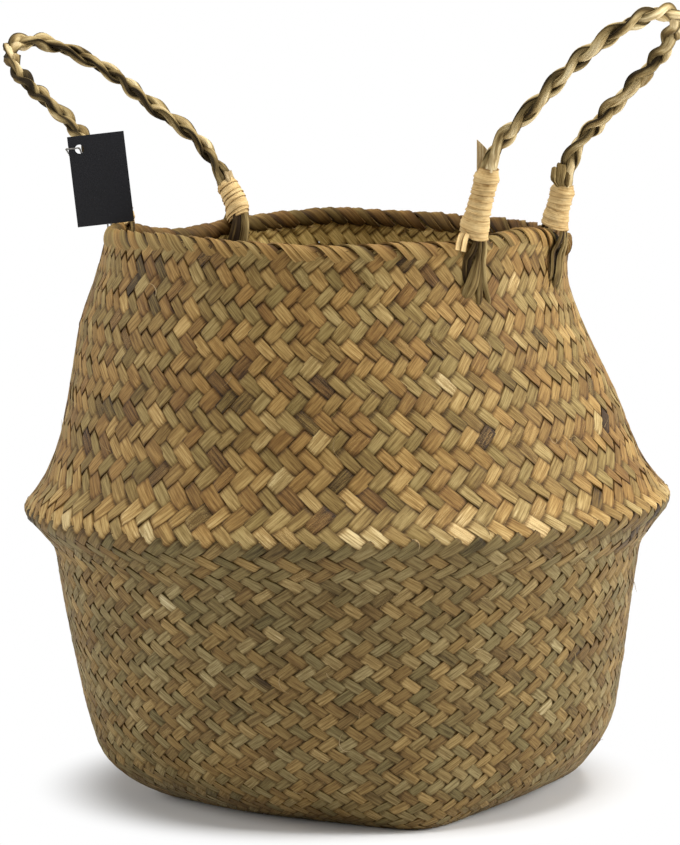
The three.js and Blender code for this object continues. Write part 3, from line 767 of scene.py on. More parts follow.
# %% Lines of the handles
HINGE_HEIGHT, LEG_FOOT, LEG_HALF_GAP, ARCH_RISE = 300.70, 6.35, 36.0, 50.0
HANDLES = {
    "right": dict(bearing=0, root_angle=16.2, lean=(17, 48), bend=(35, 52), reach=149, spread_end=60,
                  legs={"front": 35, "back": 23}),
    "left": dict(bearing=178, root_angle=21.6, lean=(37, 60), bend=(23, 60), reach=146, spread_end=84,
                 legs={"rear": 20, "front": 20}),
}
rim_shift = sway(np.array(RIM_HEIGHT))


def from_rim(points, bearing):
    cosine, sine = heading(bearing)
    x, y, z = points.T
    return np.stack([x * cosine - y * sine, x * sine + y * cosine, z], axis=1)


class Line:
    def __init__(self, points, facing):
        self.run = run_along(points)
        self.length = self.run[-1]
        ahead = np.gradient(points, self.run, axis=0)
        across = np.cross(facing, ahead)
        across /= np.linalg.norm(across, axis=1)[:, None]
        self.columns = np.hstack([points, facing, across])

    def at(self, distance):
        found = np.stack([np.interp(distance, self.run, column) for column in self.columns.T], axis=-1)
        return found[..., :3], found[..., 3:6], found[..., 6:]


def handle_line(bearing, root_angle, lean, bend, reach, spread_end, legs):
    start = reach - ARCH_RISE
    leg = np.arange(-LEG_FOOT, start, 1.0)
    turn = np.linspace(0, math.pi, 90)
    root_out, root_half = RIM_LINE_RADIUS * heading(root_angle)
    first, second = (root_half + (LEG_HALF_GAP - root_half) * ease(leg, binding, spread_end)
                     for binding in legs.values())
    up = np.concatenate([leg, start + ARCH_RISE * np.sin(turn), leg[::-1]])
    aside = np.concatenate([-first, -LEG_HALF_GAP * np.cos(turn), second[::-1]])
    marks = np.arange(0, reach + 2.0)
    tilt = np.radians(lean[0] + (lean[1] - lean[0]) * ease(marks + 0.5, *bend))
    out, rise = (np.concatenate([[0], np.cumsum(part(tilt))]) for part in (np.sin, np.cos))
    low = np.minimum(up, 0)
    counted = np.arange(len(out))
    x = np.interp(up, counted, out) + low * math.sin(tilt[0]) + root_out
    z = np.interp(up, counted, rise) + low * math.cos(tilt[0]) + HINGE_HEIGHT
    tilt = np.radians(lean[0] + (lean[1] - lean[0]) * ease(up, *bend))
    facing = np.stack([np.cos(tilt), np.zeros_like(tilt), -np.sin(tilt)], axis=1)
    points = from_rim(np.stack([x, aside, z], axis=1), bearing)
    points[:, :2] += rim_shift
    return Line(points, from_rim(facing, bearing))


lines = {side: handle_line(**handle) for side, handle in HANDLES.items()}
print("handle lines", {side: round(line.length) for side, line in lines.items()}, "mm")

# %% [markdown]
# Blades, strands and threads start as a straight rod: a cylinder cut into many rings, laid along x
# beside its fellows. The same bending then carries it along its path, and three small helpers say
# where a point lies round the rod, which way the path runs and what stands square to it.

# %% Rods
LAID_ALONG_X = Matrix.Rotation(math.pi / 2, 4, "Y")


def lay_rods(cuts, sides, count):
    rods = bmesh.new()
    bmesh.ops.create_cone(rods, cap_ends=True, segments=sides, radius1=LANE / 2, radius2=LANE / 2, depth=1,
                          matrix=LAID_ALONG_X)
    long_edges = [edge for edge in rods.edges if abs(edge.verts[0].co.x - edge.verts[1].co.x) > 0.5]
    bmesh.ops.subdivide_edges(rods, edges=long_edges, cuts=cuts, use_grid_fill=True)
    for vert in rods.verts:
        vert.co.x = min(max(vert.co.x, -0.5), 0.5)
    return side_by_side(rods, count)


def round_the_rod(across, depth):
    return np.arctan2(depth / LANE * 2, across * 2)


def along_path(path, share, gap=0.002):
    before, after = path(np.clip(share - gap, 0, 1)), path(np.clip(share + gap, 0, 1))
    ahead = after - before
    return path(share), ahead / np.linalg.norm(ahead, axis=1)[:, None]


def square_to(ahead, way):
    way = way - np.sum(way * ahead, axis=1)[:, None] * ahead
    return way / np.linalg.norm(way, axis=1)[:, None]


print("a rod is", LANE, "of its lane thick before it is bent")

# %% [markdown]
# Dry blades that are plaited, tied or left as stubs show long lines and a change of tone every few
# centimetres. A tone stored on some pieces also carries painted shade, and painted light on the
# plaits. This finish reads the place round the rod as well as along it, so the lines close up behind
# with no seam. The lines come in three sizes, each finer than the last.


# %% Blade finish
def blades(name, tone_row, lines_round, grain_depth, contrast, variety=0.0):
    finish = Finish(name)
    along, across, deep, strip, own = finish.attributes("along", "across", "deep", "strip", "own")

    def fine_lines(stretch, times, shift, detail):
        spread = lines_round * times
        spot = finish.place(along * stretch, across * spread + strip * shift, deep * spread)
        return finish.noise(spot, detail)

    streak = fine_lines(0.05, 1, 4.1, 3.0)
    fine = fine_lines(0.12, 3, 2.3, 1.0)
    hair = fine_lines(0.2, 9, 1.9, 2.0)
    drift = finish.noise(finish.place(along * 0.035, strip * 3.3, 0.7), 2.0)
    chance = finish.node("ShaderNodeTexWhiteNoise", {"noise_dimensions": "1D"}, {"W": strip + 0.37}, "Value")
    tone = (drift - 0.5) * 1.5 + (streak - 0.5) * contrast + (chance - 0.5) * variety + own + 0.5
    shade = (fine.rise(0.3, 0.7) * 0.3 + 0.8) * (streak.rise(0.28, 0.5) * 0.35 + 0.65)
    shade = shade * (hair.rise(0.3, 0.65) * 0.3 + 0.78)
    finish.set(Base_Color=finish.shaded(finish.ramp(tone, tone_row), shade),
               Roughness=0.84 - fine * 0.16, Specular_IOR_Level=0.12)
    finish.bump(streak * 0.4 + fine * 0.3 + hair * 0.3, 0.5, grain_depth)
    print("finish", name, len(finish.tree.nodes), "nodes")
    return finish.material


plait_grass = blades("plait_grass", tones(
    (0.00, 44, 34, 14), (0.22, 93, 78, 46), (0.45, 136, 117, 77), (0.70, 174, 153, 107),
    (1.00, 212, 192, 148)), 1.3, 0.0005, 1.5)
root_grass = blades("root_grass", tones(
    (0.00, 40, 27, 10), (0.28, 77, 60, 30), (0.60, 121, 102, 62), (1.00, 176, 154, 106)),
    3.0, 0.0006, 1.2, 0.3)
tail_grass = blades("tail_grass", tones(
    (0.00, 112, 92, 58), (0.40, 160, 138, 98), (0.70, 186, 165, 126), (1.00, 208, 190, 152)),
    6.0, 0.0006, 1.2)

# %% [markdown]
# A three-strand plait is a flat figure of eight: every strand swings from side to side and dips
# twice in that time, a third of a round after the one before. Inside the bindings the three close
# up into a round bunch. No two crossings are quite alike, so small random tables make a strand
# swing wider, stray aside, roll, swell or come late. Each such whim is three numbers: its row in
# the tables, its amount and the millimetres between its marks.

# %% Paths of the plaits
BUNCH_RADIUS, PLAIT_HALF_DEPTH, PLAIT_RUN_IN, PLAIT_PERIOD = 2.3, 2.0, 8.0, 57.0
STRAND_FOOT = LEG_FOOT + 4.5
PLAIT_HALF_WIDTH = {"right": 2.7, "left": 2.15}
ARCH_LOOPS, ARCH_LOOP_SPREAD = {"right": 0.1, "left": 0.4}, 26
BINDING_DROP = {"right": 0.0, "left": 10.0}
BINDING_EXTRA = {"right": 0.0, "left": 4.0}
WIDER, STRAYING, ROLLING = (0, 0.1, 13.0), (1, 0.25, 11.0), (2, 0.3, 9.0)
SWELLING, LATE = (3, 0.12, 8.0), (4, 0.16, 19.0)
WHIM_MARKS = 60
plait_noise = np.random.default_rng(23).normal(0, 1, (2, 5, 3, WHIM_MARKS))


def uneven(side, whim, index, distance):
    row, amount, step = whim
    table = plait_noise[len(side) % 2, row, index]
    place = distance / step
    low = np.clip(place.astype(int), 0, WHIM_MARKS - 2)
    return amount * (table[low] + (table[low + 1] - table[low]) * ease(place - low, 0, 1))


def binding_top(side, place):
    return HANDLES[side]["legs"][place] + BINDING_EXTRA[side] - BINDING_DROP[side]


def plait_path(side, index):
    line = lines[side]
    first, second = (binding_top(side, place) for place in HANDLES[side]["legs"])
    start, end = LEG_FOOT + first, line.length - LEG_FOOT - second
    crossings = round((end - start - 2 * PLAIT_RUN_IN) / (PLAIT_PERIOD / 6))

    def opened(distance):
        return ease(distance, start, start + PLAIT_RUN_IN) * (1 - ease(distance, end - PLAIT_RUN_IN, end))

    def turn(distance):
        plaited = np.clip((distance - start - PLAIT_RUN_IN) / (end - start - 2 * PLAIT_RUN_IN), 0, 1)
        late = uneven(side, LATE, 0, distance) * opened(distance)
        return math.pi * (1 / 6 + crossings * plaited / 3 + index * 2 / 3) + late

    def path(share):
        distance = STRAND_FOOT + share * (line.length - 2 * STRAND_FOOT)
        point, out, across = line.at(distance)
        wide = opened(distance)
        loops = ARCH_LOOPS[side] * np.exp(-((distance - line.length / 2) / ARCH_LOOP_SPREAD) ** 2)
        half_width = PLAIT_HALF_WIDTH[side] * (1 + loops + uneven(side, WIDER, index, distance))
        sideways = (BUNCH_RADIUS + (half_width - BUNCH_RADIUS) * wide) * np.sin(turn(distance))
        outwards = (BUNCH_RADIUS + (PLAIT_HALF_DEPTH - BUNCH_RADIUS) * wide) * np.sin(2 * turn(distance))
        sideways = sideways + wide * uneven(side, STRAYING, index, distance)
        return point + across * sideways[:, None] + out * outwards[:, None]

    return path, opened, turn, line


print("strands start", STRAND_FOOT, "mm up their lines and cross every", PLAIT_PERIOD / 6, "mm or so")

# %% [markdown]
# A strand is a band of folded blades with two sharp edges, so its section is a lens that leans over
# where the strand turns back. Lobes round it stand for the blades. Each strand gets painted shade
# where it goes under the next one and along its edges, and painted light where it comes over.

# %% Plaits
PLAIT_TONE = {"right": 0.16, "left": -0.06}
STRAND_TONE = (0.1, -0.14, 0.0)
BAND_HALF_WIDTH, BAND_HALF_THICKNESS = 2.75, 2.0
BUNCHED_HALF_WIDTH, BUNCHED_HALF_THICKNESS = 2.9, 2.7
STRAND_SIDES, STRAND_RING_STEP = 30, 1.7


def plait_strand(side, index):
    path, opened, turn, line = plait_path(side, index)
    tones_and_painted_shading = []

    def bend(x, across, strip, depth):
        share = x + 0.5
        distance = STRAND_FOOT + share * (line.length - 2 * STRAND_FOOT)
        point, ahead = along_path(path, share)
        out = square_to(ahead, line.at(distance)[1])
        aside = np.cross(out, ahead)
        wide = opened(distance)
        edge = np.sin(turn(distance))
        roll = wide * (uneven(side, ROLLING, index, distance) - 0.7 * edge * np.abs(edge))
        flat_way = aside * np.cos(roll)[:, None] + out * np.sin(roll)[:, None]
        thick_way = out * np.cos(roll)[:, None] - aside * np.sin(roll)[:, None]
        round_it = round_the_rod(across, depth)
        twist = distance / 31 + index * 2
        lobes = 1.06 - 0.12 * np.abs(np.sin(2.5 * round_it + twist)) ** 3
        lobes = lobes + 0.04 * np.cos(9 * round_it - twist * 1.7)
        swell = 1 + uneven(side, SWELLING, index, distance) * wide
        half_width = (BUNCHED_HALF_WIDTH + (BAND_HALF_WIDTH - BUNCHED_HALF_WIDTH) * wide) * swell * lobes
        half_thickness = BUNCHED_HALF_THICKNESS + (BAND_HALF_THICKNESS - BUNCHED_HALF_THICKNESS) * wide
        lens = np.sin(round_it) * np.abs(np.sin(round_it)) ** (0.8 * wide)
        # Painted shade where the strand goes under and along its edges, painted light where it comes over.
        fold_light_and_shade = 0.3 * np.sin(2 * turn(distance)) * np.sin(round_it) - 0.6 * np.abs(np.cos(round_it)) ** 4
        tones_and_painted_shading.append(PLAIT_TONE[side] + STRAND_TONE[index] + fold_light_and_shade * wide)
        point = point + flat_way * (half_width * np.cos(round_it))[:, None]
        return point + thick_way * (half_thickness * lobes * lens)[:, None], distance

    rod = lay_rods(round(line.length / STRAND_RING_STEP), STRAND_SIDES, 1)
    mesh = to_mesh(f"plait_{side}_{index + 1}", rod, bend)
    store(mesh, "strip", np.full(len(mesh.vertices), index + 1.0))
    store(mesh, "own", tones_and_painted_shading[0])
    return add_piece(mesh, plait_grass)


for side in HANDLES:
    for index in range(3):
        piece = plait_strand(side, index)
        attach(piece, f"handle_{side}")
        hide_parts(f"handle_{side}_strand_{index + 1}")

# %% [markdown]
# Raffia is a pale papery leaf. It is creased along its length, stained here and there, and darker
# along its edges. Noise that is squeezed across the ribbon gives the creases and fibres, and a
# broader noise gives the stains.


# %% Raffia finish
def raffia(name, tone_row):
    finish = Finish(name)
    along, across, strip = finish.attributes("along", "across", "strip")
    crease = finish.noise(finish.place(along * 0.07, across * 5.0, strip * 3.1), 3.0)
    fibre = finish.noise(finish.place(along * 0.1, across * 22.0, strip * 1.7), 2.0)
    stain = finish.noise(finish.place(along * 0.16, across * 1.2, 2.5), 2.0)
    colour = finish.ramp(crease * 0.75 + stain * 1.0 - 0.37, tone_row)
    edge = across.abs().rise(0.38, 0.5)
    shade = (fibre.rise(0.3, 0.7) * 0.22 + 0.82) * (1 - edge * 0.34)
    finish.set(Base_Color=finish.shaded(colour, shade), Roughness=0.78 - fibre * 0.2, Specular_IOR_Level=0.25)
    finish.bump(crease * 0.6 + fibre * 0.4, 0.7, 0.001)
    print("finish", name, len(finish.tree.nodes), "nodes")
    return finish.material


raffia_ribbon = raffia("raffia_ribbon", tones(
    (0.0, 104, 72, 34), (0.2, 162, 125, 70), (0.42, 211, 178, 120), (0.7, 227, 198, 142),
    (1.0, 240, 218, 172)))

# %% [markdown]
# A handle's feet are where everything is tied. A leg's own axes say which way is across, out and up
# there. What crosses the hinge is blended over a few millimetres of height at the rim: its foot stays
# with the basket, its head turns with the handle, and it bends between.

# %% Feet of the handles
def is_first(side, place):
    return place == next(iter(HANDLES[side]["legs"]))


def leg_frame(side, place):
    line = lines[side]
    first = is_first(side, place)
    spot, out, across = line.at(np.array(LEG_FOOT if first else line.length - LEG_FOOT))
    across = across if first else -across
    return spot, across, out, np.cross(across, out)


def root_bearing(side, place):
    way = -1 if is_first(side, place) else 1
    return HANDLES[side]["bearing"] + way * HANDLES[side]["root_angle"]


def bend_at_rim(piece, side, place):
    low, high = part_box(f"root_{side}_{place}")
    middle = (low + high) / 2
    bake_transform(piece, "basket", f"handle_{side}",
             start=(middle.x, middle.y, 0.2945), end=(middle.x, middle.y, 0.3035))


legs = [(side, place) for side in HANDLES for place in HANDLES[side]["legs"]]
print("feet at bearings", [round(root_bearing(*leg), 1) for leg in legs])

# %% [markdown]
# Each leg is bound with one long ribbon of raffia, wound from the rim upwards, every turn lying on
# the edge of the one below, and a second short one makes a collar round its foot. The binding
# stands upright at the rim and leans with the leg further up. A screw modifier would wind the
# ribbon too evenly, so it is laid flat and bent, and no turn is quite level.

# %% Bindings
RAFFIA_PITCH, RAFFIA_WIDTH, RAFFIA_RADIUS, RAFFIA_THICKNESS = 3.1, 4.7, 5.75, 0.5
COLLAR_TURNS, COLLAR_LENGTH = 2.7, 8.6
BINDING_STEP, LEAN_FROM, ON_LEG = 0.25, 7.0, 12.0
COLLARS = {("right", "front"): 1.1, ("right", "back"): 0.6, ("left", "rear"): 0.5, ("left", "front"): 0.5}


def upright_below(up, drop):
    heights = np.arange(-drop - 4, 60, BINDING_STEP)
    leaning = ease(heights, -drop, LEAN_FROM)[:, None]
    ways = up * leaning + np.array([0, 0, 1.0]) * (1 - leaning)
    ways /= np.linalg.norm(ways, axis=1)[:, None]
    middles = np.cumsum(ways * BINDING_STEP, axis=0)
    on_leg = heights.searchsorted(ON_LEG)
    middles += up * heights[on_leg] - middles[on_leg]
    return lambda height: np.stack([np.interp(height, heights, column) for column in middles.T], axis=-1)


def binding(side, place, collar):
    spot, aside, out, up = leg_frame(side, place)
    drop = BINDING_DROP[side]
    middle_line = upright_below(up, drop)
    length = HANDLES[side]["legs"][place] + BINDING_EXTRA[side]
    turns = (length - RAFFIA_WIDTH) / RAFFIA_PITCH + 1
    shake = np.random.default_rng(len(place) * 7 + len(side)).uniform(0, 6.28, 8)

    def bend(share, across, strip, depth):
        wound = np.where(strip == 0, turns, COLLAR_TURNS)
        reach = np.where(strip == 0, length, COLLAR_LENGTH)
        turn = share * wound
        angle = turn * 2 * math.pi + shake[0] + strip * 2.2
        climb = np.clip(turn - 0.5, 0, wound - 1) / (wound - 1)
        height = RAFFIA_WIDTH / 2 - 0.3 + climb * (reach - RAFFIA_WIDTH + 0.6)
        height += 0.45 * np.sin(angle * 0.93 + shake[1]) + 0.35 * np.sin(angle * 0.41 + shake[2])
        width = RAFFIA_WIDTH * (1 + 0.2 * np.sin(angle * 0.37 + shake[3]))
        crease = 0.15 * np.sin(across * 17 + angle * 0.55 + shake[4])
        crease = crease + 0.12 * np.sin(angle * 4.3 + across * 6)
        height = height + across * width
        swell = strip * collar + 0.25 * np.sin(height / 4.1 + shake[5])
        closing = np.where(strip == 0, 1.0, 0.0) * ease(height, length - 5, length + 0.5)
        r = RAFFIA_RADIUS + swell + crease - across * 0.85 - closing + depth * RAFFIA_THICKNESS + 0.3
        point = spot + aside * (r * np.cos(angle))[:, None] + out * (r * np.sin(angle))[:, None]
        return point + middle_line(height - drop), turn * 2 * math.pi * RAFFIA_RADIUS + strip * 400

    ribbon = lay_strips(np.linspace(0, 1, round(turns * 26)), 2, 6)
    return add_piece(to_mesh(f"raffia_{side}_{place}", ribbon, bend), raffia_ribbon)


for (side, place), collar in COLLARS.items():
    piece = binding(side, place, collar)
    bend_at_rim(piece, side, place)
    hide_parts(f"binding_{side}_{place}")

# %% [markdown]
# Below a binding the strands part round the rim. Outside they open like a leaf and close again
# where they go into the wall, and inside they hang straighter. Each leaf runs through a few marks,
# given as a radius, a step sideways and a height, and a smooth curve joins them.

# %% Routes of the roots
upper_part = run_even > belly_run
wall_r, wall_z = line_r[upper_part], line_z[upper_part]


def wall(height):
    return np.interp(height, wall_z, wall_r)


def through(points, share):
    points = np.asarray(points, float)
    padded = np.vstack([2 * points[0] - points[1], points, 2 * points[-1] - points[-2]])
    place = np.clip(share, 0, 1) * (len(points) - 1)
    low = np.minimum(place.astype(int), len(points) - 2)
    t = (place - low)[:, None]
    a, b, c, d = (padded[low + step] for step in range(4))
    return (2 * b + (c - a) * t + (2 * a - 5 * b + 4 * c - d) * t ** 2 + (3 * b - a - 3 * c + d) * t ** 3) / 2


def outside_marks(middle, foot, low, bulge):
    near, far = low + 0.35 * (290 - low), low + 0.68 * (290 - low)
    return [(wall(low) - 2.4, foot, low), (wall(low + 3) + 0.7, foot, low + 3),
            (wall(near) + 1.5 + bulge, 0.6 * middle + 0.4 * foot, near),
            (wall(far) + 1.7 + bulge, middle, far),
            (126.9 + bulge * 0.5, middle * 0.8, 288), (127.1, middle * 0.56, 294),
            (124.6, middle * 0.42, 300), (123.2, middle * 0.36, 305)]


def inside_marks(middle, foot, low, bulge):
    return [(wall(low) - 1.0, foot, low), (wall(low + 4) - 5.2, foot, low + 4),
            (wall(271) - 6.2, middle, 271),
            (115.4 - bulge, middle, 282), (114.9 - bulge, middle * 0.85, 290),
            (116.4 - bulge, middle * 0.65, 296), (118.8, middle * 0.48, 301), (119.8, middle * 0.4, 305)]


def root_route(bearing, marks):
    spots = []
    for r, sideways, z in marks:
        angle = math.radians(bearing) + sideways / r
        spots.append((r * math.cos(angle), r * math.sin(angle), z))
    return settle(np.array(spots))


print("roots lie on a wall of radius", [round(float(wall(z)), 1) for z in (257, 271, 288)], "mm")

# %% [markdown]
# Each leaf of a root is seven numbers: its middle and its foot sideways, the height of its foot, how
# far it bulges, half its width, its tone, and 1 if it widens like a spoon near the foot or 0 if it is
# an even strap. The dark leaves that lie in against the wall are darker blades and also painted shade
# in the gaps between the leaves. The roots hold the handle and bend with it, so they are blended.

# %% Leaves of the roots
ROOTS = {
    ("right", "front"): (
        [(1.2, -3.2, 264.5, 1.9, 3.9, 0.10, 1), (6.2, 10.6, 261.0, 0.9, 1.5, 0.28, 0),
         (4.6, 4.4, 261.5, 0.5, 2.2, 0.0, 1), (-2.2, -2.0, 271.0, 0.3, 1.3, -0.2, 0),
         (3.4, 2.2, 268.0, -0.6, 1.8, -0.4, 0), (-4.0, -3.4, 272.0, -0.6, 1.7, -0.3, 0)],
        [(-4.0, -3.4, 257.0, 0, 2.3, -0.1, 0), (3.2, 3.0, 257.0, 0, 2.3, -0.2, 0)]),
    ("right", "back"): (
        [(-6.0, -5.0, 269.0, 0.3, 1.4, 0.1, 0), (0.6, 0.2, 266.0, 1.4, 3.2, 0.1, 1),
         (6.4, 4.6, 265.0, 0.8, 1.5, 0.3, 0), (-2.6, -1.6, 271.0, -0.6, 2.2, -0.25, 0),
         (3.6, 2.8, 269.0, -0.6, 2.0, -0.3, 0)],
        [(-3.6, -3.0, 257.0, 0, 2.2, 0.0, 0), (3.8, 3.2, 257.0, 0, 2.2, -0.2, 0)]),
    ("left", "rear"): (
        [(-5.4, -4.2, 263.0, 0.6, 1.9, 0.1, 0), (0.6, 0.2, 264.0, 1.2, 3.2, 0.0, 1),
         (5.8, 5.0, 262.0, 0.5, 1.8, 0.25, 0), (-2.2, -1.4, 268.0, -0.7, 2.4, -0.3, 0)],
        [(-4.8, -4.0, 257.0, 0, 1.4, 0.4, 0), (-2.0, -1.4, 259.0, 0.4, 1.5, -0.1, 0),
         (1.4, 1.0, 257.0, 0, 1.9, -0.4, 0), (4.8, 3.8, 260.0, 0.3, 1.8, -0.4, 0)]),
    ("left", "front"): (
        [(-5.8, -5.0, 263.0, 0.5, 1.9, 0.2, 0), (-0.6, 0.4, 264.0, 1.3, 3.2, 0.0, 1),
         (5.6, 4.8, 262.0, 0.6, 1.8, -0.1, 0), (2.6, 2.0, 268.0, -0.7, 2.4, -0.3, 0)],
        [(-1.2, -1.6, 257.0, -1.3, 1.7, -0.2, 0), (3.2, 3.0, 257.0, -1.3, 1.7, 0.0, 0)]),
}
THINNEST_LEAF, LEAF_HOLLOW = 1.1, 0.22


def root_blades(side, place, outside, inside):
    bearing = root_bearing(side, place)
    routes = [root_route(bearing, outside_marks(*leaf[:4])) for leaf in outside]
    routes += [root_route(bearing, inside_marks(*leaf[:4])) for leaf in inside]
    half_widths, leaf_tones_and_shade, spoons = np.array(outside + inside).T[4:]
    facing = np.append(heading(bearing), 0.0)
    tones_and_painted_shading = []

    def bend(x, across, strip, depth):
        share = x + 0.5
        bent = np.empty((len(x), 3))
        for index, route in enumerate(routes):
            mine = strip == index
            part = share[mine]
            point, ahead = along_path(lambda spot: through(route, spot), part)
            out = square_to(ahead, np.broadcast_to(facing, ahead.shape))
            aside = np.cross(out, ahead)
            round_it = round_the_rod(across[mine], depth[mine])
            lobes = 1 + 0.08 * np.cos(5 * round_it + index + part * 3)
            strap = 0.34 + 0.66 * np.sin(math.pi * part ** 0.62)
            spoon = 0.2 + 0.8 * np.exp(-((part - 0.27) / 0.2) ** 2)
            wide = np.maximum(half_widths[index] * (spoon if spoons[index] else strap), THINNEST_LEAF) * lobes
            thick = (0.75 + 0.5 * ease(part, 0.6, 1)) * lobes
            lens = np.sin(round_it) * np.abs(np.sin(round_it)) ** 0.5
            cup = LEAF_HOLLOW * wide * np.cos(round_it) ** 2
            sideways, outwards = wide * np.cos(round_it), thick * lens - cup
            bent[mine] = point + aside * sideways[:, None] + out * outwards[:, None]
        # Tone from the table, where the dark leaves are partly painted shade, and darker towards the foot.
        tones_and_painted_shading.append(leaf_tones_and_shade[strip] - 0.12 - 0.2 * (1 - ease(share, 0.05, 0.55)))
        return bent, share * 55

    mesh = to_mesh(f"roots_{side}_{place}", lay_rods(30, 14, len(routes)), bend)
    store(mesh, "own", tones_and_painted_shading[0])
    return add_piece(mesh, root_grass)


for (side, place), (outside, inside) in ROOTS.items():
    piece = root_blades(side, place, outside, inside)
    bend_at_rim(piece, side, place)
    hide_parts(f"root_{side}_{place}")

# %% [markdown]
# Where the longest binding was tied off, two short ends of the ribbon hang over the rim. They are
# narrow flat strips on a curve. Their heads turn with the handle and their tips stay on the wall,
# so they are blended across the hinge as the roots are.

# %% Ribbon ends
RIBBON_END_WIDTH, RIBBON_END_THICKNESS, RIBBON_END_HOLLOW = 3.3, 0.45, 0.3
RIBBON_END_MARKS = (
    [(1.0, 6.0, 2.0), (3.2, 9.4, 0.6), (5.4, 12.4, -2.6), (6.3, 13.9, -6.6)],
    [(3.8, 5.2, 1.8), (5.6, 7.8, 0.0), (6.8, 9.8, -3.2), (7.0, 10.9, -7.4)],
)


def ribbon_ends(side, place):
    cosine, sine = heading(root_bearing(side, place))
    axes = np.array([(cosine, sine, 0), (sine, -cosine, 0), (0, 0, 1)])
    spot = leg_frame(side, place)[0]

    def bend(share, across, strip, depth):
        local = np.empty((len(share), 3))
        for index, marks in enumerate(RIBBON_END_MARKS):
            mine = strip == index
            local[mine] = through(marks, share[mine])
        local[:, 0] += RIBBON_END_HOLLOW * (2 * across) ** 2 + depth * RIBBON_END_THICKNESS
        local[:, 1] += across * RIBBON_END_WIDTH * (1 - 0.15 * share)
        local[:, 2] += across * 0.6 * share
        return spot + local @ axes, share * 12

    mesh = to_mesh(f"ribbon_ends_{side}_{place}", lay_strips(np.linspace(0, 1, 9), 2, 3), bend)
    return add_piece(mesh, raffia_ribbon)


piece = ribbon_ends("right", "front")
bend_at_rim(piece, "right", "front")

# %% [markdown]
# Above a binding the ends of the strands are cut off, and they stand up on the mouth side. On three
# of the legs they are flat blades with a slanted cut. Each blade is seven numbers: its place aside
# and behind, which way it faces, how upright it stands, its width, its height and its cut's slope.

# %% Cut tails
TAILS = {
    ("right", "front"): [(2.7, -2.5, -50.5, 1.0, 5.2, 11.5, 1.9)],
    ("left", "rear"): [(0.9, -4.0, 0, 0, 5.0, 2.6, 0.8), (-1.8, -4.7, 10, 0, 4.2, 1.6, -0.6)],
    ("left", "front"): [(-0.9, -4.2, 0, 0, 5.0, 8.2, -1.2), (1.9, -5.0, -12, 0, 4.4, 6.0, 1.1)],
}
TAIL_SUNK, TAIL_THICKNESS = 4, 0.7


def flat_tail(side, place, cuts):
    spot, aside, out, up = leg_frame(side, place)
    root = spot + up * binding_top(side, place)
    table = np.array(cuts, float)

    def bend(share, across, strip, depth):
        beside, behind, face, upright, width, tall, slope = (column[strip][:, None] for column in table.T)
        face = np.radians(face)
        wide_way = aside * np.cos(face) + out * np.sin(face)
        thick_way = out * np.cos(face) - aside * np.sin(face)
        rise_way = up * (1 - upright) + np.array([0, 0, 1]) * upright
        share, across, depth = share[:, None], across[:, None], depth[:, None]
        height = -TAIL_SUNK + share * (tall + TAIL_SUNK + 2 * slope * across)
        hollow = 0.7 * (2 * across) ** 2 - 0.9 * share ** 2 + depth * TAIL_THICKNESS
        point = root + aside * beside + out * behind + wide_way * across * width + rise_way * height
        return point + thick_way * hollow, share[:, 0] * 15

    mesh = to_mesh(f"tail_blades_{side}_{place}", lay_strips(np.linspace(0, 1, 9), len(cuts), 4), bend)
    return add_piece(mesh, tail_grass)


for (side, place), cuts in TAILS.items():
    piece = flat_tail(side, place, cuts)
    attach(piece, f"handle_{side}")
    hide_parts(f"tail_{side}_{place}")

# %% [markdown]
# On the fourth leg the tail is a fat stub: four blades side by side, bent over at the top and tucked
# back into the binding. They are rods on one short curve, spread out above the binding, and the
# middle ones stand highest.

# %% Folded tail
FOLD_BLADES, FOLD_PITCH, FOLD_HALF_WIDTH, FOLD_HALF_THICKNESS = 4, 2.2, 1.5, 1.0
FOLD_MARKS = [(0, 1.2, -4.0), (0, 1.6, 2.0), (0, 1.8, 7.0), (0, 0, 10.4), (0, -1.8, 7.4), (0, -1.9, 2.0),
              (0, -1.4, -2.0)]


def folded_tail(side, place):
    spot, aside, out, up = leg_frame(side, place)
    root = spot + up * HANDLES[side]["legs"][place]
    crosswise, frontwards = 0.77 * out - 0.64 * aside, 0.64 * out + 0.77 * aside
    upright = up * 0.5 + np.array([0, 0, 0.5])
    axes = np.array([crosswise, frontwards, upright])

    def bend(x, across, strip, depth):
        share = x + 0.5
        point, ahead = along_path(lambda part: through(FOLD_MARKS, part), share)
        round_it = round_the_rod(across, depth)
        over = np.cross(np.broadcast_to([1.0, 0.0, 0.0], ahead.shape), ahead)
        lobes = 1 + 0.1 * np.cos(4 * round_it + strip * 2)
        from_middle = strip - (FOLD_BLADES - 1) / 2
        opened = ease(point[:, 2], -4, 3)
        breadth = 0.6 + 0.4 * opened
        local = point + over * (FOLD_HALF_THICKNESS * lobes * np.sin(round_it))[:, None]
        sideways = from_middle * FOLD_PITCH + FOLD_HALF_WIDTH * lobes * np.cos(round_it)
        local[:, 0] += breadth * sideways - 2.7 * opened
        local[:, 1] += 1.2 + 2.2 * opened
        local[:, 2] -= from_middle ** 2 * 1.3 * ease(local[:, 2], 0, 8)
        return root + local @ axes, share * 24

    mesh = to_mesh(f"tail_fold_{side}_{place}", lay_rods(30, 12, FOLD_BLADES), bend)
    return add_piece(mesh, root_grass)


piece = folded_tail("right", "back")
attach(piece, "handle_right")
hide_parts("tail_right_back")

# %% [markdown]
# Dry grass frays. A few hair-thin fibres stand out of the wall where a strip was bent or spliced.
# Hair particles would do it, but a few rings on a rod are enough, and they export as they are.

# %% Loose fibres
FIBRES, FIBRE_HALF_WIDTH, FIBRE_STAND = 70, 0.24, 2.4
fibre_rng = np.random.default_rng(5)
fibre_run = fibre_rng.uniform(belly_run * 0.25, run_even[-1] - 8, FIBRES)
fibre_angle = fibre_rng.uniform(0, 2 * math.pi, FIBRES)
fibre_way = fibre_rng.uniform(0, 2 * math.pi, FIBRES)
fibre_length = fibre_rng.uniform(5, 13, FIBRES)


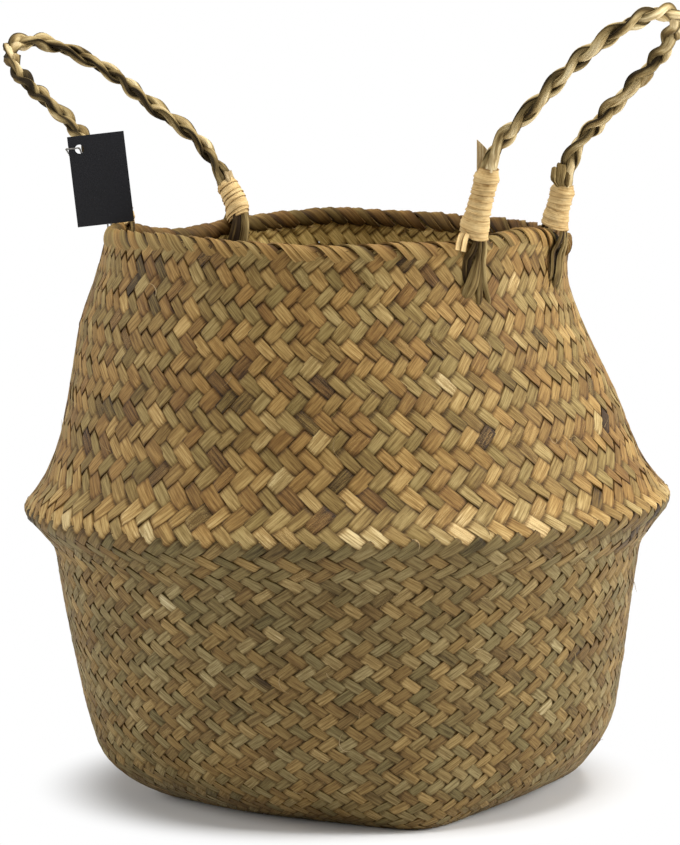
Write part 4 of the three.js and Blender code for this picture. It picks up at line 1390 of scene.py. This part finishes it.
def fray(x, across, strip, depth):
    share = x + 0.5
    gone = share * fibre_length[strip]
    curl = fibre_way[strip] + share * 1.6 * np.cos(strip * 1.7)
    distance = fibre_run[strip] + gone * np.sin(curl)
    r = np.interp(distance, run_even, line_r)
    thin = FIBRE_HALF_WIDTH * (1 - 0.7 * share)
    angle = fibre_angle[strip] + (gone * np.cos(curl) + across * 2 * thin) / r
    stand = 0.2 + FIBRE_STAND * share ** 1.6 + depth / LANE * 2 * thin
    return wall_points(distance + across * thin, angle, stand), share * 10


piece = add_piece(to_mesh("loose_fibres", lay_rods(7, 5, FIBRES), fray), tail_grass)
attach(piece, "basket")

# %% [markdown]
# The swing tag is a stiff black card. Its solid already has the right shape, a thin plate with a
# punched hole, so it stays and only gets a finish: matt black pulp with pale specks and a faint
# difference of gloss where it was handled. It is left plain.

# %% Tag card
card = Finish("black_card")
spot = card.node("ShaderNodeTexCoord", {}, {}, "Object")
pulp = card.noise(spot, 3.0, 1400.0)
handled = card.noise(spot, 2.0, 70.0)
speck = card.noise(spot, 1.0, 2600.0).rise(0.68, 0.8)
black = card.ramp(pulp * 0.6 + handled * 0.4, tones((0.3, 13, 13, 16), (0.7, 24, 24, 28)))
card.set(Base_Color=card.mix(speck * 0.35, black, srgb(96, 96, 100)), Roughness=0.55 + handled * 0.25,
         Specular_IOR_Level=0.25)
card.bump(pulp, 0.25, 0.0002)
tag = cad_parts["swing_tag"]
tag.data.materials.clear()
tag.data.materials.append(card.material)
print("tag keeps its solid,", len(tag.data.vertices), "points")

# %% [markdown]
# The tag hangs on a loop of thin grey thread: up from a knot beside the handle's root, through the
# hole, round the side of the card and back to the knot. Its route is written in the card's own
# axes, measured from the hole, and some of its marks are shares of the way down to the knot.

# %% Route of the thread
TAG_HOLE, TAG_BEARING = np.array([-128.93, -71.79, 335.30]), 39.5
KNOT_HEIGHT = 290.0
knot_spot = from_rim(np.array([[127.6, 7.8, KNOT_HEIGHT]]), 199.6)[0]
knot_spot[:2] *= squeeze(math.atan2(knot_spot[1], knot_spot[0]), KNOT_HEIGHT)
knot = from_rim((knot_spot + (*rim_shift, 0) - TAG_HOLE)[None], -TAG_BEARING)[0]


def tied(x, y, above):
    return knot + (x, y, 1.5 + above)


def between(share, x, y):
    return knot * share + (x, y, 0)


thread_route = np.array([
    tied(0.7, -0.4, -0.6), tied(0.4, -0.8, 4), between(0.75, 0.8, 1), between(0.55, 0.5, 1.6),
    between(0.31, 0.2, 2.6), between(0.11, 0, 3.2), (0.2, 2.4, -0.6), (0, 0.9, 0.0), (0, -0.5, 0.4),
    (-0.8, -1.7, 0.7), (-2.9, -2.0, 0.4), (-5.0, -2.0, 0.3), (-6.6, -1.3, 0.2), (-7.0, 0.2, -0.2),
    (-6.8, 1.8, -0.9), between(0.11, -6.4, 3), between(0.31, -5, 3.4), between(0.55, -3.7, 2.8),
    between(0.75, -2.5, 2.2), tied(-1.6, 0.1, 4), tied(-1.1, 0.2, -0.6)])


def overhand(share):
    t = share * 2 * math.pi * 0.97
    loop = [np.sin(t) + 2 * np.sin(2 * t), np.cos(t) - 2 * np.cos(2 * t), -1.6 * np.sin(3 * t)]
    return knot + np.stack(loop, axis=1) * 0.42


print("knot lies", [round(v, 1) for v in knot], "mm from the hole, in the card's axes")

# %% [markdown]
# Two plies are twisted round the route, so the thread has its lay, and the knot is an overhand
# knot on the same plies. A curve with a bevel would be a smooth wire. The thread stays with the
# basket, and the card turns round it.

# %% Thread and knot
PLY_RADIUS, PLY_OFFSET, LAY_LENGTH = 0.27, 0.23, 2.4
grey_thread = blades("grey_thread", tones(
    (0.0, 104, 102, 98), (0.5, 140, 138, 134), (1.0, 176, 174, 168)), 2.5, 0.0002, 0.8)


def twisted(name, path, length, cuts):
    def bend(x, across, strip, depth):
        share = x + 0.5
        point, ahead = along_path(path, share, 0.004)
        side_way = square_to(ahead, np.broadcast_to([0.31, 0.21, 0.93], ahead.shape))
        other_way = np.cross(ahead, side_way)
        lay = share * length / LAY_LENGTH * 2 * math.pi + strip * math.pi
        wide = PLY_OFFSET * np.cos(lay) + PLY_RADIUS * across * 2
        deep = PLY_OFFSET * np.sin(lay) + PLY_RADIUS * depth / LANE * 2
        local = point + side_way * wide[:, None] + other_way * deep[:, None]
        return from_rim(local, TAG_BEARING) + TAG_HOLE, share * length

    return add_piece(to_mesh(name, lay_rods(cuts, 7, 2), bend), grey_thread)


for name, path, length, cuts, node in (
        ("thread_loop", lambda share: through(thread_route, share), 109.6, 330, "tag_string"),
        ("thread_knot", overhand, 22.0, 90, "tag_knot")):
    piece = twisted(name, path, length, cuts)
    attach(piece, "basket")
    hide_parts(node)

# %% [markdown]
# The stage is a pale floor in a white room. Near the basket the floor is an ordinary matt surface,
# so it takes the shadow. Further out it turns into plain white for the camera alone, through the
# Is Camera Ray switch of Light Path.

# %% Floor
WHITE = (1, 1, 1, 1)
FADE_FROM, FADE_TO = 0.12, 0.172
floor_mesh = bpy.data.meshes.new("floor")
disc = bmesh.new()
bmesh.ops.create_circle(disc, cap_ends=True, segments=96, radius=6.0)
disc.to_mesh(floor_mesh)
disc.free()
floor = bpy.data.objects.new("floor", floor_mesh)
bpy.context.scene.collection.objects.link(floor)

ground = Finish("pale_floor")
ground.set(Base_Color=srgb(238, 238, 238), Roughness=0.9)
spot = ground.node("ShaderNodeTexCoord", {}, {}, "Object")
distance = ground.node("ShaderNodeVectorMath", {"operation": "LENGTH"}, {0: spot}, "Value")
seen = ground.node("ShaderNodeLightPath", {}, {}, "Is Camera Ray")
white = ground.node("ShaderNodeEmission", {}, {"Color": WHITE, "Strength": 1.0})
matt = Val(ground, ground.shader.outputs[0])
faded = {0: distance.rise(FADE_FROM, FADE_TO) * seen, 1: matt, 2: white}
ground.feed(ground.tree.nodes["Material Output"].inputs["Surface"],
            ground.node("ShaderNodeMixShader", {}, faded))
floor_mesh.materials.append(ground.material)
print("floor fades to white from", FADE_FROM, "to", FADE_TO, "m from the middle")

# %% [markdown]
# The world does the same above the floor: the camera and shiny surfaces see plain white, and the
# basket is lit by only a little of it.

# %% World
ROOM_LIGHT = 0.225
world = bpy.data.worlds.new("studio")
bpy.context.scene.world = world
world.use_nodes = True
sky = Nodes(world.node_tree)
to_camera, to_gloss = (sky.node("ShaderNodeLightPath", {}, {}, ray)
                       for ray in ("Is Camera Ray", "Is Glossy Ray"))
lit, plain = (sky.node("ShaderNodeBackground", {}, {"Color": WHITE, "Strength": strength})
              for strength in (ROOM_LIGHT, 1.0))
chosen = {0: to_camera.math("MAXIMUM", to_gloss), 1: lit, 2: plain}
sky.feed(sky.tree.nodes["World Output"].inputs["Surface"], sky.node("ShaderNodeMixShader", {}, chosen))
print("world lights the basket at", ROOM_LIGHT)

# %% [markdown]
# The light on the basket is plain and soft: a broad lamp overhead and a softbox on each side, the
# right one stronger. Each lamp is placed from the camera's point of view, by metres to the right,
# away and up, and then has a size and a power.

# %% Lamps
LAMPS = {
    "overhead": (0.45, -0.4, 2.2, 1.3, 47),
    "right_side": (1.9, -0.25, 0.9, 1.2, 38.5),
    "left_side": (-1.9, -0.1, 0.8, 1.2, 19.5),
}
LAMP_AIM = Vector((0, 0, 0.18))
for name, (right, away, up, size, power) in LAMPS.items():
    lamp = bpy.data.lights.new(name, "AREA")
    lamp.shape = "DISK"
    lamp.size = size
    lamp.energy = power
    stand = TO_THE_RIGHT * right + AWAY * away + UPWARDS * up
    set_up(name, lamp, stand, LAMP_AIM - stand)
    print("lamp", name, power, "W")
bpy.context.scene.view_settings.view_transform = "Standard"

# %% [markdown]
